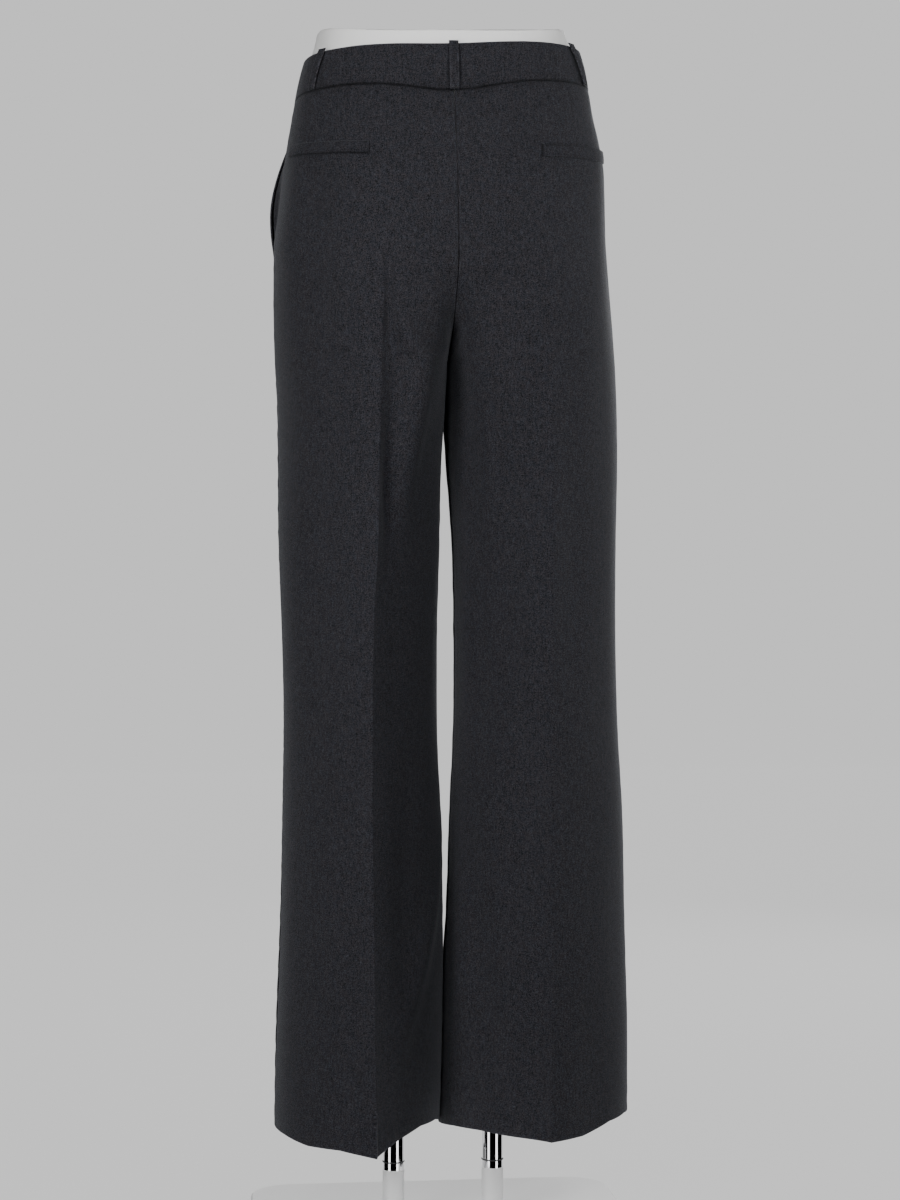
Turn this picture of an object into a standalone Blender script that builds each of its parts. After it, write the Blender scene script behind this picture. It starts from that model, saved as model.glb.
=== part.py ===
"""Pleated dress trousers, hollow and hanging straight, on a limbless hip form
that stands on two poles and a plate.

Metres, +Z up.  The wearer's left is +X, the back of the garment is +Y, and
the plate rests on z = 0.  Every cloth piece is a thin wall.  The walls follow
one set of horizontal outlines: a rounded hip loop at the top, which turns
into two pressed legs, each between a front and a back crease.
"""

from math import pi

import bpy
import numpy as np

# ---------------------------------------------------------------- sizes (m)
GAP = 0.0003                 # what touching pieces keep between them
CLOTH = 0.0012               # wall of one layer of suiting
BAND_WALL = 0.0030           # waistband: two layers and a stiffener
LAID_ON = 0.0006             # space under a piece that lies on a faceted wall

BAND_TOP = 1.119             # top edge of the waistband at the side seams
WAIST_SEAM = 1.082           # waistband to panels, at the side seams
CROTCH = 0.825               # where the four panels meet
HEM = 0.100                  # bottom edge of the legs
HEM_TURN = 0.040             # depth of the turned-up hem
BACK_RISE_TOP = 0.935        # here the centre back starts to curve under
FRONT_RISE_TOP = 0.905       # and here the centre front does
LEG_BLEND_TOP = 0.955        # above this the outline is all hip
LEG_BLEND_END = 0.865        # below this it is all leg
INNER_PRESS_TOP = 0.830      # the inner half of a leg starts to flatten here
INNER_PRESS_END = 0.670      # and is pressed flat from here down
HIP_POWER = 2.4              # 2 is an ellipse, more is squarer
INNER_CURVE = 0.7            # how much sooner the inner half bends near the crease

BACK_DIP_SEAM = 0.011        # the waist seam sags this much at centre back
BACK_DIP_TOP = 0.003         # and the top edge this much
WAIST_TILT = 0.045           # both edges rise this much per metre to the right
BACK_DIP_WIDTH = 0.055
FRONT_DIP_SEAM = 0.010       # both edges slope down to the front
FRONT_DIP_TOP = 0.009
FRONT_DIP_FROM = 0.035       # the slope runs from this depth behind the sides
FRONT_DIP_RUN = 0.115        # over this distance forwards
DIP_FADE = 0.060             # the seam's dip is gone this far below it

PLEAT_BEND = 0.00088         # radius of a pleat's folded edge, at mid wall
PLEAT_SINK = 0.0012          # the under layer lies this much inside
PLEAT_SPREAD = 0.045         # how far the raised layer reaches to the centre
PLEAT_OPEN_STEP = 0.012      # length of a bend where the pleat has died out
PLEAT_MARGIN = 0.006         # flat cloth kept on both sides of a pleat
PLEAT_FADE = 0.200           # an opened pleat spreads out over this height

POCKET_SLANT = 0.034         # mouth edge to side seam, at the waist seam
POCKET_END = 0.917           # the mouth meets the side seam here
POCKET_UNDERLAP = 0.008
FACING_SHORT = 0.0015        # the facing starts this much below the waist seam
FACING_STOP = 0.003          # and stops this much above the end of the mouth
GAPE = {1: 0.0090, -1: 0.0035}   # how far the mouth stands open, left, right
GAPE_REACH = 0.028

WELT_TOP = 1.0205
WELT_TALL = 0.012
WELT_RISE = 0.007            # the welt's outer end is higher by this
WELT_FROM = 0.036            # its ends, measured from the side seam
WELT_TO = 0.134

LOOP_WIDE = 0.0088
LOOP_THICK = 0.0016
LOOP_STAND_OFF = 0.0022
LOOP_ABOVE = 0.0023          # the loop stands this much above the band
LOOP_SEAT = 0.0006           # and ends this much above the waist seam
SIDE_LOOP_AT = {1: (0.1282, 0.1176), -1: (0.1291, 0.1140)}   # bottom and top, left, right
FRONT_LOOP_AT = (0.082, 0.082)   # the same on the front, from the middle plane

TAB_LONG = 0.034             # button tab beyond the centre front
TAB_LIFT = 0.0038            # the tab stands this much outside the band
TAB_RAMP = 0.014             # and takes this length to get there
TAB_START = 0.002            # it is level from this far before the centre front
BUTTON_PLACE = 0.018         # from the centre front
BUTTON_RADIUS = 0.0075
BUTTON_THICK = 0.0018        # at the middle; the rim is BUTTON_RIM times that
BUTTON_RIM = 1.45
BUTTON_HOLE = 0.0009
BUTTON_HOLE_PLACE = 0.0017
FLY_WIDE = 0.036
FLY_LONG = 0.165
FLY_SHORT = 0.002            # the strip starts this much below the waist seam

FORM_TOP = 1.1299
FORM_TOP_WIDE = 0.1185       # half width of its top, and its depths
FORM_TOP_DEEP = {1: 0.0795, -1: 0.0745}
FORM_TOP_SHIFT = 0.0026      # it stands this much to the left
FORM_TOP_TILT = 0.023        # rises this much per metre to the right
FORM_END_LIFT = 0.0134       # and this much more at its two ends
FORM_END_POWER = 3.3         # how close to the ends that is
FORM_BOTTOM = 0.930
FORM_CLEAR_BAND = 0.0004
FORM_CLEAR_CLOTH = 0.0060
FORM_STEP = 0.004            # it draws in over this height at the waist seam
POLE_APART = 0.0955
POLE_RADIUS = 0.0100
SOCKET_TOP = 0.056
SOCKET_RADIUS = 0.0104
PLATE_WIDE = 0.360
PLATE_DEEP = 0.300
PLATE_THICK = 0.008
PLATE_CORNER = 0.040
PLATE_BEVEL = 0.0015

# ------------------------------------------------------------ form in tables
# The hip outline: half widths to the left and right, depths to back and front.
HIP_COLUMNS = ("height", "left", "right", "back", "front")
HIP = (
    (0.860, 0.1615, 0.1600, 0.1250, 0.1160),
    (0.890, 0.1617, 0.1588, 0.1270, 0.1175),
    (0.915, 0.1618, 0.1570, 0.1280, 0.1180),
    (0.940, 0.1612, 0.1552, 0.1270, 0.1170),
    (0.966, 0.1580, 0.1545, 0.1235, 0.1145),
    (0.990, 0.1552, 0.1540, 0.1190, 0.1110),
    (1.014, 0.1525, 0.1530, 0.1130, 0.1070),
    (1.038, 0.1490, 0.1485, 0.1065, 0.1020),
    (1.060, 0.1460, 0.1430, 0.1005, 0.0970),
    (1.082, 0.1425, 0.1395, 0.0945, 0.0915),
    (1.105, 0.1375, 0.1350, 0.0890, 0.0860),
    (1.119, 0.1340, 0.1315, 0.0860, 0.0830),
    (1.130, 0.1310, 0.1285, 0.0835, 0.0805),
)

# A leg outline: distances from the middle plane to the side, the inseam and
# the crease, depths of the back and front crease, how sharp they are, and how
# square the inner quarters are (2 is an ellipse).
LEG_COLUMNS = ("height", "side", "inseam", "crease", "back", "front", "sharp", "square")
LEG_LEFT = (
    (0.100, 0.1610, 0.0048, 0.0755, 0.1340, 0.1240, 0.88, 2.0),
    (0.200, 0.1590, 0.0017, 0.0760, 0.1280, 0.1200, 0.87, 2.0),
    (0.250, 0.1575, 0.0006, 0.0765, 0.1245, 0.1180, 0.865, 2.0),
    (0.300, 0.1560, 0.0006, 0.0770, 0.1210, 0.1160, 0.86, 2.0),
    (0.400, 0.1540, 0.0030, 0.0775, 0.1160, 0.1120, 0.85, 2.0),
    (0.480, 0.1530, 0.0064, 0.0775, 0.1135, 0.1090, 0.84, 2.0),
    (0.560, 0.1545, 0.0066, 0.0765, 0.1125, 0.1080, 0.82, 2.0),
    (0.654, 0.1575, 0.0042, 0.0725, 0.1130, 0.1090, 0.78, 2.1),
    (0.740, 0.1580, 0.0022, 0.0710, 0.1150, 0.1100, 0.66, 2.6),
    (0.790, 0.1590, 0.0008, 0.0705, 0.1175, 0.1120, 0.52, 3.2),
    (0.825, 0.1608, 0.0002, 0.0700, 0.1200, 0.1140, 0.48, 3.6),
    (0.860, 0.1616, 0.0002, 0.0690, 0.1235, 0.1165, 0.42, 4.0),
    (0.900, 0.1617, 0.0002, 0.0680, 0.1260, 0.1175, 0.30, 4.2),
    (0.950, 0.1600, 0.0002, 0.0670, 0.1265, 0.1170, 0.10, 4.0),
)
LEG_RIGHT = (
    (0.100, 0.1780, -0.0040, 0.0880, 0.1090, 0.1240, 0.64, 2.0),
    (0.200, 0.1774, -0.0010, 0.0885, 0.1090, 0.1200, 0.63, 2.0),
    (0.250, 0.1758, 0.0000, 0.0888, 0.1090, 0.1180, 0.625, 2.0),
    (0.300, 0.1745, 0.0032, 0.0890, 0.1090, 0.1160, 0.62, 2.0),
    (0.400, 0.1728, 0.0066, 0.0890, 0.1090, 0.1120, 0.62, 2.0),
    (0.480, 0.1684, 0.0100, 0.0890, 0.1090, 0.1090, 0.62, 2.0),
    (0.560, 0.1664, 0.0106, 0.0890, 0.1090, 0.1080, 0.62, 2.0),
    (0.654, 0.1664, 0.0092, 0.0890, 0.1100, 0.1090, 0.60, 2.1),
    (0.740, 0.1674, 0.0035, 0.0885, 0.1125, 0.1100, 0.54, 2.3),
    (0.790, 0.1664, 0.0010, 0.0880, 0.1150, 0.1120, 0.48, 2.8),
    (0.825, 0.1648, 0.0002, 0.0875, 0.1175, 0.1140, 0.42, 3.3),
    (0.860, 0.1622, 0.0002, 0.0870, 0.1210, 0.1165, 0.34, 3.6),
    (0.900, 0.1588, 0.0002, 0.0860, 0.1235, 0.1175, 0.22, 4.0),
    (0.950, 0.1545, 0.0002, 0.0850, 0.1240, 0.1170, 0.08, 4.0),
)

# Soft folds.  Place is 0 at the side seam, 1 at the crease, 2 at the centre
# seam or inseam; rise is positive for a ridge and negative for a trough.
FOLD_SPAN = 0.11             # metres from one place to the next, about
FOLD_COLUMNS = ("side", "face", "top", "top_place", "bottom", "bottom_place", "width", "rise")
FOLDS = (
    (1, 1, 0.930, 1.22, 0.640, 1.26, 0.0120, 0.0034),
    (1, 1, 0.840, 1.42, 0.660, 1.34, 0.0130, 0.0036),
    (1, 1, 1.075, 0.44, 0.760, 0.52, 0.0190, -0.0022),
    (1, 1, 0.880, 0.50, 0.300, 0.56, 0.0150, -0.0020),
    (1, 1, 0.430, 2.02, 0.110, 1.03, 0.0115, 0.0040),
    (1, 1, 0.560, 1.50, 0.160, 1.20, 0.0140, -0.0022),
    (-1, 1, 0.880, 1.42, 0.620, 1.44, 0.0125, 0.0034),
    (-1, 1, 0.480, 1.76, 0.060, 1.30, 0.0145, -0.0042),
    (-1, 1, 0.740, 1.18, 0.420, 1.16, 0.0130, 0.0020),
    (-1, 1, 0.900, 0.86, 0.360, 0.82, 0.0120, -0.0018),
    (-1, 1, 0.420, 0.62, 0.100, 0.52, 0.0150, 0.0016),
    (1, -1, 0.700, 0.50, 0.360, 0.60, 0.0160, 0.0028),
    (-1, -1, 0.640, 0.45, 0.300, 0.58, 0.0160, 0.0028),
    (1, -1, 0.560, 1.50, 0.260, 1.45, 0.0180, -0.0024),
    (-1, -1, 0.600, 1.55, 0.340, 1.50, 0.0180, -0.0024),
)

# How much higher the hem hangs than HEM, at nine even places from the side
# seam over the crease to the inseam.
HEM_PLACES = np.linspace(0.0, 2.0, 9)
HEM_COLUMNS = ("side", "face") + tuple("at_%.2f" % spot for spot in HEM_PLACES)
HEM_HANG = (
    (1, 1, 0.0010, 0.0007, -0.0023, -0.0002, -0.0033, 0.0075, 0.0127, 0.0110, 0.0026),
    (1, -1, 0.0010, 0.0010, 0.0010, 0.0010, 0.0010, 0.0014, 0.0020, 0.0024, 0.0026),
    (-1, 1, 0.0085, 0.0127, 0.0118, 0.0038, 0.0020, 0.0036, 0.0055, 0.0041, 0.0000),
    (-1, -1, 0.0085, 0.0075, 0.0060, 0.0040, 0.0020, 0.0020, 0.0015, 0.0008, 0.0000),
)
HEM_HANG_FADE = 0.220        # the difference is gone this far above the hem

# The pleats of one front, from the crease outwards.  Place as above; the
# under layer has this depth at the waist, and the pleat has opened at "end".
PLEAT_COLUMNS = ("place", "depth", "shut_to", "end")
PLEATS = (
    (1.00, 0.0085, 1.020, 0.900),
    (0.52, 0.0065, 1.036, 0.950),
)
ARC_STEPS = 60               # points of a fine outline, from seam to crease
BACK_COLUMNS = 11            # strips of a back panel on each side of its crease

# The button from its flat middle over the rim to the underside: distance from
# the centre in radii, height in thicknesses.
BUTTON_PROFILE = (
    (0.62, 1.0),
    (0.74, BUTTON_RIM),
    (0.90, BUTTON_RIM),
    (1.00, 1.0),
    (1.00, 0.35),
    (0.85, 0.0),
)
BUTTON_SIDES = 20

# Levels of the hip block: height, distance inside the outline, which of the
# waistband's edges it dips with (1 seam, 0.5 middle, 0 top, None level), size.
FORM_RINGS = (
    ((BAND_TOP + WAIST_SEAM) / 2, FORM_CLEAR_BAND + BAND_WALL, 0.5, 1.00),
    (WAIST_SEAM + FORM_STEP, FORM_CLEAR_BAND + BAND_WALL, 1.0, 1.00),
    (WAIST_SEAM - FORM_STEP, FORM_CLEAR_CLOTH + 0.004, 1.0, 1.00),
    (1.040, FORM_CLEAR_CLOTH + 0.002, None, 1.00),
    (1.005, FORM_CLEAR_CLOTH, None, 1.00),
    (0.975, FORM_CLEAR_CLOTH + 0.002, None, 1.00),
    (0.955, FORM_CLEAR_CLOTH + 0.008, None, 0.97),
    (0.940, FORM_CLEAR_CLOTH + 0.016, None, 0.90),
    (FORM_BOTTOM, FORM_CLEAR_CLOTH + 0.024, None, 0.74),
)


def column(table, names, name, at):
    """One column of a table as a smooth curve over its first column (Hermite)."""
    rows = np.array(table)
    knots = rows[:, 0]
    values = rows[:, names.index(name)]
    slopes = np.gradient(values, knots)
    at = np.clip(at, knots[0], knots[-1])
    low = np.clip(np.searchsorted(knots, at) - 1, 0, len(knots) - 2)
    span = knots[low + 1] - knots[low]
    t = (at - knots[low]) / span
    start = values[low] * (1 + 2 * t) * (1 - t) ** 2 + slopes[low] * span * t * (1 - t) ** 2
    end = values[low + 1] * t ** 2 * (3 - 2 * t) + slopes[low + 1] * span * t ** 2 * (t - 1)
    return start + end


def ease(value):
    """0 below 0, 1 above 1, and a soft S between."""
    value = np.clip(value, 0.0, 1.0)
    return value * value * (3.0 - 2.0 * value)


def outline(side, face, height):
    """Outer outlines at the given heights, x and y, from the side seam over
    the crease to the centre seam or inseam.  side 1 is left, face 1 is back."""
    z = np.asarray(height, float)[:, None]
    t = np.linspace(0.0, 1.0, ARC_STEPS + 1)[None, :]
    leg = LEG_LEFT if side > 0 else LEG_RIGHT
    depth = "back" if face > 0 else "front"
    crease = column(leg, LEG_COLUMNS, "crease", z)
    hip_wide = column(HIP, HIP_COLUMNS, "left" if side > 0 else "right", z)
    hip_deep = column(HIP, HIP_COLUMNS, depth, z)
    turn = np.arccos((crease / hip_wide) ** (HIP_POWER / 2))
    angle = np.hstack([turn * t, turn + (pi / 2 - turn) * t[:, 1:]])
    hip_x = hip_wide * np.abs(np.cos(angle)) ** (2 / HIP_POWER)
    hip_y = hip_deep * np.sin(angle) ** (2 / HIP_POWER)

    rise_top = BACK_RISE_TOP if face > 0 else FRONT_RISE_TOP
    under = np.clip((rise_top - z) / (rise_top - CROTCH), 0.0, 1.0)
    seam_y = hip_deep * np.sqrt(1.0 - under ** 2)
    wide = column(leg, LEG_COLUMNS, "side", z) - crease
    inner = crease - column(leg, LEG_COLUMNS, "inseam", z)
    deep = column(leg, LEG_COLUMNS, depth, z)
    sharp = column(leg, LEG_COLUMNS, "sharp", z)
    square = column(leg, LEG_COLUMNS, "square", z)
    back = 1.0 - t[:, 1:]
    cut = np.clip(seam_y / deep, 0.0, 0.999) ** (square / 2)
    sweep = np.arcsin(cut) + (pi / 2 - np.arcsin(cut)) * ease(back)
    pressed = sharp * ease((INNER_PRESS_TOP - z) / (INNER_PRESS_TOP - INNER_PRESS_END))
    outer_x = crease + wide * ((1 - sharp) * np.cos(pi / 2 * t) + sharp * (1 - t ** 2))
    outer_y = deep * ((1 - sharp) * np.sin(pi / 2 * t) + sharp * t)
    round_x = crease - inner * np.abs(np.cos(sweep)) ** (2 / square)
    round_x -= (round_x[:, -1:] - crease + inner) * (1.0 - back) ** 2
    round_y = deep * np.sin(sweep) ** (2 / square)
    bend = 2.0 - INNER_CURVE * back
    inner_x = (1 - pressed) * round_x + pressed * (crease - inner * (1 - back ** bend))
    inner_y = (1 - pressed) * round_y + pressed * deep * back

    blend = ease((LEG_BLEND_TOP - z) / (LEG_BLEND_TOP - LEG_BLEND_END))
    x = (1 - blend) * hip_x + blend * np.hstack([outer_x, inner_x])
    y = (1 - blend) * hip_y + blend * np.hstack([outer_y, inner_y])
    return side * x, face * y


def waist_dip(x, y, back, front, tilt=WAIST_TILT):
    """How far an edge hangs lower at the centre back, towards the front and
    towards the left."""
    sag = np.exp(-(x / BACK_DIP_WIDTH) ** 2) * (y > 0)
    return -back * sag - front * ease((FRONT_DIP_FROM - y) / FRONT_DIP_RUN) - tilt * x


def lengths(x, y):
    """Length along each outline, from its first point."""
    steps = np.hypot(np.diff(x, axis=1), np.diff(y, axis=1))
    return np.hstack([np.zeros((len(x), 1)), np.cumsum(steps, axis=1)])


def place(side, face, height, along, out):
    """Points at lengths `along` the outlines from the side seam, moved out."""
    x, y = outline(side, face, height)
    run = lengths(x, y)
    dx, dy = np.gradient(x, axis=1), np.gradient(y, axis=1)
    size = np.hypot(dx, dy)
    turn = side * face
    points = np.empty(along.shape + (3,))
    for row in range(len(height)):
        at = along[row]
        px, py = np.interp(at, run[row], x[row]), np.interp(at, run[row], y[row])
        nx = np.interp(at, run[row], turn * dy[row] / size[row])
        ny = np.interp(at, run[row], -turn * dx[row] / size[row])
        points[row, :, 0] = px + out[row] * nx
        points[row, :, 1] = py + out[row] * ny
        points[row, :, 2] = height[row]
    return points


def folds_at(side, face, height, spot):
    """Sum of the soft folds at each place (0 side, 1 crease, 2 centre)."""
    total = np.zeros_like(spot)
    z = height[:, None]
    for fold in FOLDS:
        row = dict(zip(FOLD_COLUMNS, fold))
        if (row["side"], row["face"]) != (side, face):
            continue
        share = np.clip((row["top"] - z) / (row["top"] - row["bottom"]), 0.0, 1.0)
        middle = row["top_place"] + (row["bottom_place"] - row["top_place"]) * share
        wide = row["width"] / FOLD_SPAN
        total += row["rise"] * np.sin(pi * share) ** 2 * np.exp(-((spot - middle) / wide) ** 2)
    return total


# ----------------------------------------------------------------- bodies
def add_object(name, points, faces, material, smooth=True):
    """A closed body from points and faces, turned so that its faces look out."""
    mesh = bpy.data.meshes.new(name)
    mesh.from_pydata([tuple(p) for p in points], [], faces)
    mesh.update()
    mesh.materials.append(material)
    volume = 0.0
    for polygon in mesh.polygons:
        corners = [mesh.vertices[i].co for i in polygon.vertices]
        for second, third in zip(corners[1:-1], corners[2:]):
            volume += corners[0].dot(second.cross(third))
    if volume < 0:
        mesh.flip_normals()
    if smooth:
        mesh.shade_smooth()
        mesh.set_sharp_from_angle(angle=pi / 5)
    body = bpy.data.objects.new(name, mesh)
    bpy.context.scene.collection.objects.link(body)
    return body


def shell(name, outside, inside, material):
    """A wall between two grids of points (rows by columns)."""
    rows, columns = outside.shape[:2]
    points = np.concatenate([outside.reshape(-1, 3), inside.reshape(-1, 3)])
    number = np.arange(rows * columns).reshape(rows, columns)
    faces = []
    for row in range(rows - 1):
        for col in range(columns - 1):
            a, b = number[row, col], number[row, col + 1]
            c, d = number[row + 1, col + 1], number[row + 1, col]
            faces.append((a, b, c, d))
            faces.append(tuple(rows * columns + i for i in (d, c, b, a)))
    rim = np.concatenate([number[0, :-1], number[:-1, -1], number[-1, :0:-1], number[:0:-1, 0]])
    for here, there in zip(rim, np.roll(rim, -1)):
        faces.append((here, here + rows * columns, there + rows * columns, there))
    return add_object(name, points, [tuple(int(i) for i in f) for f in faces], material)


def wall_normals(grid, like, seam_rows=None):
    """Unit normals of a grid of points, on the side that `like` points to.
    At the side seam, and in the last column's `seam_rows`, they run straight
    sideways, so that two walls that meet there don't cross."""
    normal = np.cross(np.gradient(grid, axis=1), np.gradient(grid, axis=0))
    normal[:, 0, 1] = 0.0
    if seam_rows is not None:
        normal[seam_rows, -1, 1] = 0.0
    normal /= np.linalg.norm(normal, axis=2, keepdims=True)
    return normal * like


def panel_heights():
    """Rows of a panel: even on the hip, by angle on the rise, longer down the leg."""
    hip = np.linspace(WAIST_SEAM - GAP, BACK_RISE_TOP, 7)
    turns = np.linspace(pi / 2, 0.0, 8)[1:]
    rise = CROTCH + (BACK_RISE_TOP - CROTCH) * (1.0 - np.cos(turns))
    thigh = np.array([0.810, 0.785, 0.745])
    leg = np.linspace(0.690, 0.210, 9)
    hem = np.array([HEM + HEM_TURN + 0.001, HEM + HEM_TURN, HEM])
    return np.concatenate([hip, rise, thigh, leg, hem])


def wall(name, middle, heights, outward, material):
    """A cloth wall about its middle surface, doubled inside at the hem."""
    normal = wall_normals(middle, outward, heights <= CROTCH + 1e-6)
    doubled = np.where(heights <= HEM + HEM_TURN + 1e-6, 1.5, 0.5)[:, None, None] * CLOTH
    return shell(name, middle + normal * CLOTH / 2, middle - normal * doubled, material)


def seam_drop(points, heights):
    """Lower a panel's top rows to follow the waist seam."""
    fade = ease(1.0 - (WAIST_SEAM - heights) / DIP_FADE)[:, None]
    points[..., 2] += fade * waist_dip(points[..., 0], points[..., 1], BACK_DIP_SEAM, FRONT_DIP_SEAM)


def hem_hang(side, face, points, heights, spot):
    """Lift or lower the lowest rows, so that the hem hangs a little unevenly."""
    rows = [dict(zip(HEM_COLUMNS, row)) for row in HEM_HANG]
    row = next(r for r in rows if (r["side"], r["face"]) == (side, face))
    lift = np.interp(spot, HEM_PLACES, [row[name] for name in HEM_COLUMNS[2:]])
    share = ease(1.0 - (heights - HEM) / HEM_HANG_FADE)[:, None]
    points[..., 2] += share * lift


def spots_to_lengths(side, face, heights, spot):
    """Turn places (0 side, 1 crease, 2 centre) into lengths along the outlines."""
    x, y = outline(side, face, heights)
    run = lengths(x, y)
    crease, total = run[:, ARC_STEPS, None], run[:, -1, None]
    along = np.where(spot < 1.0, spot * crease, crease + (spot - 1.0) * (total - crease))
    return along, crease, total


def back_middle(side, heights):
    """Middle surface of a back panel, and the lengths of its columns."""
    outer = np.linspace(0.0, 1.0, BACK_COLUMNS + 1)[:-1]
    inner = 1.0 + np.linspace(0.0, 1.0, BACK_COLUMNS + 1)
    spot = np.tile(np.concatenate([outer, inner]), (len(heights), 1))
    along, _, total = spots_to_lengths(side, 1, heights, spot)
    along = np.clip(along, GAP / 2, total - GAP / 2)
    out = folds_at(side, 1, heights, spot) - CLOTH / 2
    points = place(side, 1, heights, along, out)
    seam_drop(points, heights)
    hem_hang(side, 1, points, heights, spot)
    return points, along


def pleat_profile(pleat, heights):
    """Section of a knife pleat: lengths from its folded edge towards the
    centre, and heights above the under layer, one row for each height.
    The cloth turns back by `turn`, runs for `depth`, and turns forward again."""
    row = dict(zip(PLEAT_COLUMNS, pleat))
    shut = ease((heights - row["end"]) / (row["shut_to"] - row["end"]))
    turn = np.maximum(pi * shut, 0.02)[:, None]
    full = ease((heights - row["shut_to"] + 0.03) / (WAIST_SEAM - row["shut_to"]))
    depth = (row["depth"] * full)[:, None]
    spread = 1.0 - shut + ease((row["end"] - heights) / PLEAT_FADE)
    bend = np.maximum(PLEAT_BEND, (pi * PLEAT_BEND + PLEAT_OPEN_STEP * spread[:, None] / 2) / turn)
    bend = np.where(shut[:, None] > 0.98, PLEAT_BEND, bend)
    first = turn * np.linspace(0.0, 1.0, 4)[None, :]
    second = turn * np.linspace(1.0, 0.0, 5)[None, :]
    along_1, up_1 = bend * np.sin(first), bend * (1 - np.cos(first))
    start_x = along_1[:, -1:] + depth * np.cos(turn)
    start_y = up_1[:, -1:] + depth * np.sin(turn)
    along_2 = start_x + bend * (np.sin(turn) - np.sin(second))
    up_2 = start_y + bend * (np.cos(second) - np.cos(turn))
    start, stop = -np.full_like(turn, PLEAT_MARGIN), along_2[:, -1:] + PLEAT_MARGIN
    along = np.hstack([start, along_1, along_2, stop])
    up = np.hstack([np.zeros_like(turn), up_1, up_2, up_2[:, -1:]])
    return along - along_2[:, 2:3], up


def front_middle(side, heights):
    """Middle surface of a front panel, with its pleats and pocket mouth."""
    one = np.ones((len(heights), 1))
    _, crease, total = spots_to_lengths(side, -1, heights, one)
    mouth = POCKET_SLANT * np.clip((heights - POCKET_END) / (WAIST_SEAM - POCKET_END), 0, 1)[:, None]
    main, main_up = pleat_profile(PLEATS[0], heights)
    second, second_up = pleat_profile(PLEATS[1], heights)
    main = main + crease
    second = second + crease * PLEATS[1][0] + mouth * (1 - PLEATS[1][0])
    edge = np.maximum(mouth, GAP / 2)
    part = np.linspace(0.0, 1.0, 4)[None, :]
    side_run = edge + (second[:, :1] - edge) * part[:, :3]
    between = second[:, -1:] + (main[:, :1] - second[:, -1:]) * part[:, 1:3]
    centre = total - GAP / 2
    run_in = main[:, -1:] + (centre - main[:, -1:]) * np.linspace(0.0, 1.0, 7)[None, 1:]
    along = np.hstack([side_run, second, between, main, run_in])

    def fading(distance):
        return np.exp(-(distance / PLEAT_SPREAD) ** 2)

    raised_2, raised_1 = second_up[:, -1:], main_up[:, -1:]
    up = np.hstack([
        np.zeros_like(side_run),
        second_up,
        raised_2 * fading(between - second[:, -1:]),
        main_up + raised_2 * fading(main[:, :1] - second[:, -1:]) * (1 - main_up / (main_up.max() + 1e-9)),
        raised_1 * fading(run_in - main[:, -1:]),
    ])
    sink = PLEAT_SINK * ease((heights - PLEATS[0][3]) / (WAIST_SEAM - PLEATS[0][3]))[:, None]
    spot = np.where(along < crease, along / crease, 1 + (along - crease) / (total - crease))
    open_by = GAPE[side] * mouth_open(heights)[:, None] * np.exp(-((along - edge) / GAPE_REACH) ** 2)
    out = up - sink + folds_at(side, -1, heights, spot) + open_by - CLOTH / 2
    points = place(side, -1, heights, along, out)
    seam_drop(points, heights)
    hem_hang(side, -1, points, heights, spot)
    return points


def mouth_open(heights):
    """How far the pocket mouth stands open: shut at both ends, widest low down."""
    share = np.clip((WAIST_SEAM - heights) / (WAIST_SEAM - POCKET_END), 0.0, 1.0)
    return np.sin(pi * share ** 1.4) ** 2


def facing_middle(side, heights):
    """Middle surface of the piece that shows in the pocket mouth."""
    mouth = POCKET_SLANT * (heights - POCKET_END) / (WAIST_SEAM - POCKET_END)
    share = np.linspace(0.0, 1.0, 6)[None, :]
    along = GAP / 2 + (mouth[:, None] + POCKET_UNDERLAP - GAP / 2) * share
    under = CLOTH + 2 * LAID_ON + PLEAT_SINK
    out = -under * ease(along / np.maximum(0.75 * mouth[:, None], 1e-4)) - CLOTH / 2
    points = place(side, -1, heights, along, out)
    seam_drop(points, heights)
    return points


def band_ring(side, heights, drop_back, drop_front, out, start=0.0, end=0.0, tilt=WAIST_TILT):
    """Grid on the waistband, from the centre back round the side to the front.
    start and end shorten it there; out is one distance for each column."""
    along_back = np.linspace(1.0, 0.0, 10)[:-1]
    along_front = np.linspace(0.0, 1.0, 10)
    grids = []
    for face, share in ((1, along_back), (-1, along_front)):
        x, y = outline(side, face, heights)
        total = lengths(x, y)[:, -1:]
        along = share[None, :] * total
        if face > 0:
            along = np.minimum(along, total - start)
        else:
            along = np.minimum(along, total - end)
        shift = np.full_like(along, out)
        grids.append(place(side, face, heights, along, shift))
    grid = np.concatenate(grids, axis=1)
    drops = [np.asarray(drop)[:, None] for drop in (drop_back, drop_front)]
    grid[..., 2] += waist_dip(grid[..., 0], grid[..., 1], *drops, tilt)
    return grid


def make_material(name, colour, roughness, metallic=0.0):
    material = bpy.data.materials.new(name)
    material.use_nodes = True
    shader = material.node_tree.nodes["Principled BSDF"]
    shader.inputs["Base Color"].default_value = (*colour, 1.0)
    shader.inputs["Roughness"].default_value = roughness
    shader.inputs["Metallic"].default_value = metallic
    return material


def wool(name):
    return make_material(name + "_wool", (0.028, 0.029, 0.034), 0.9)


# ------------------------------------------------------------ cloth pieces
BAND_ROWS = np.array([WAIST_SEAM, (WAIST_SEAM + BAND_TOP) / 2, BAND_TOP])
BAND_DIPS_BACK = np.linspace(BACK_DIP_SEAM, BACK_DIP_TOP, 3)
BAND_DIPS_FRONT = np.linspace(FRONT_DIP_SEAM, FRONT_DIP_TOP, 3)


def make_panels():
    heights = panel_heights()
    for side, name in ((1, "left"), (-1, "right")):
        back, _ = back_middle(side, heights)
        wall("back_" + name, back, heights, -side, wool("back_" + name))
        front = front_middle(side, heights)
        wall("front_" + name, front, heights, side, wool("front_" + name))


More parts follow.
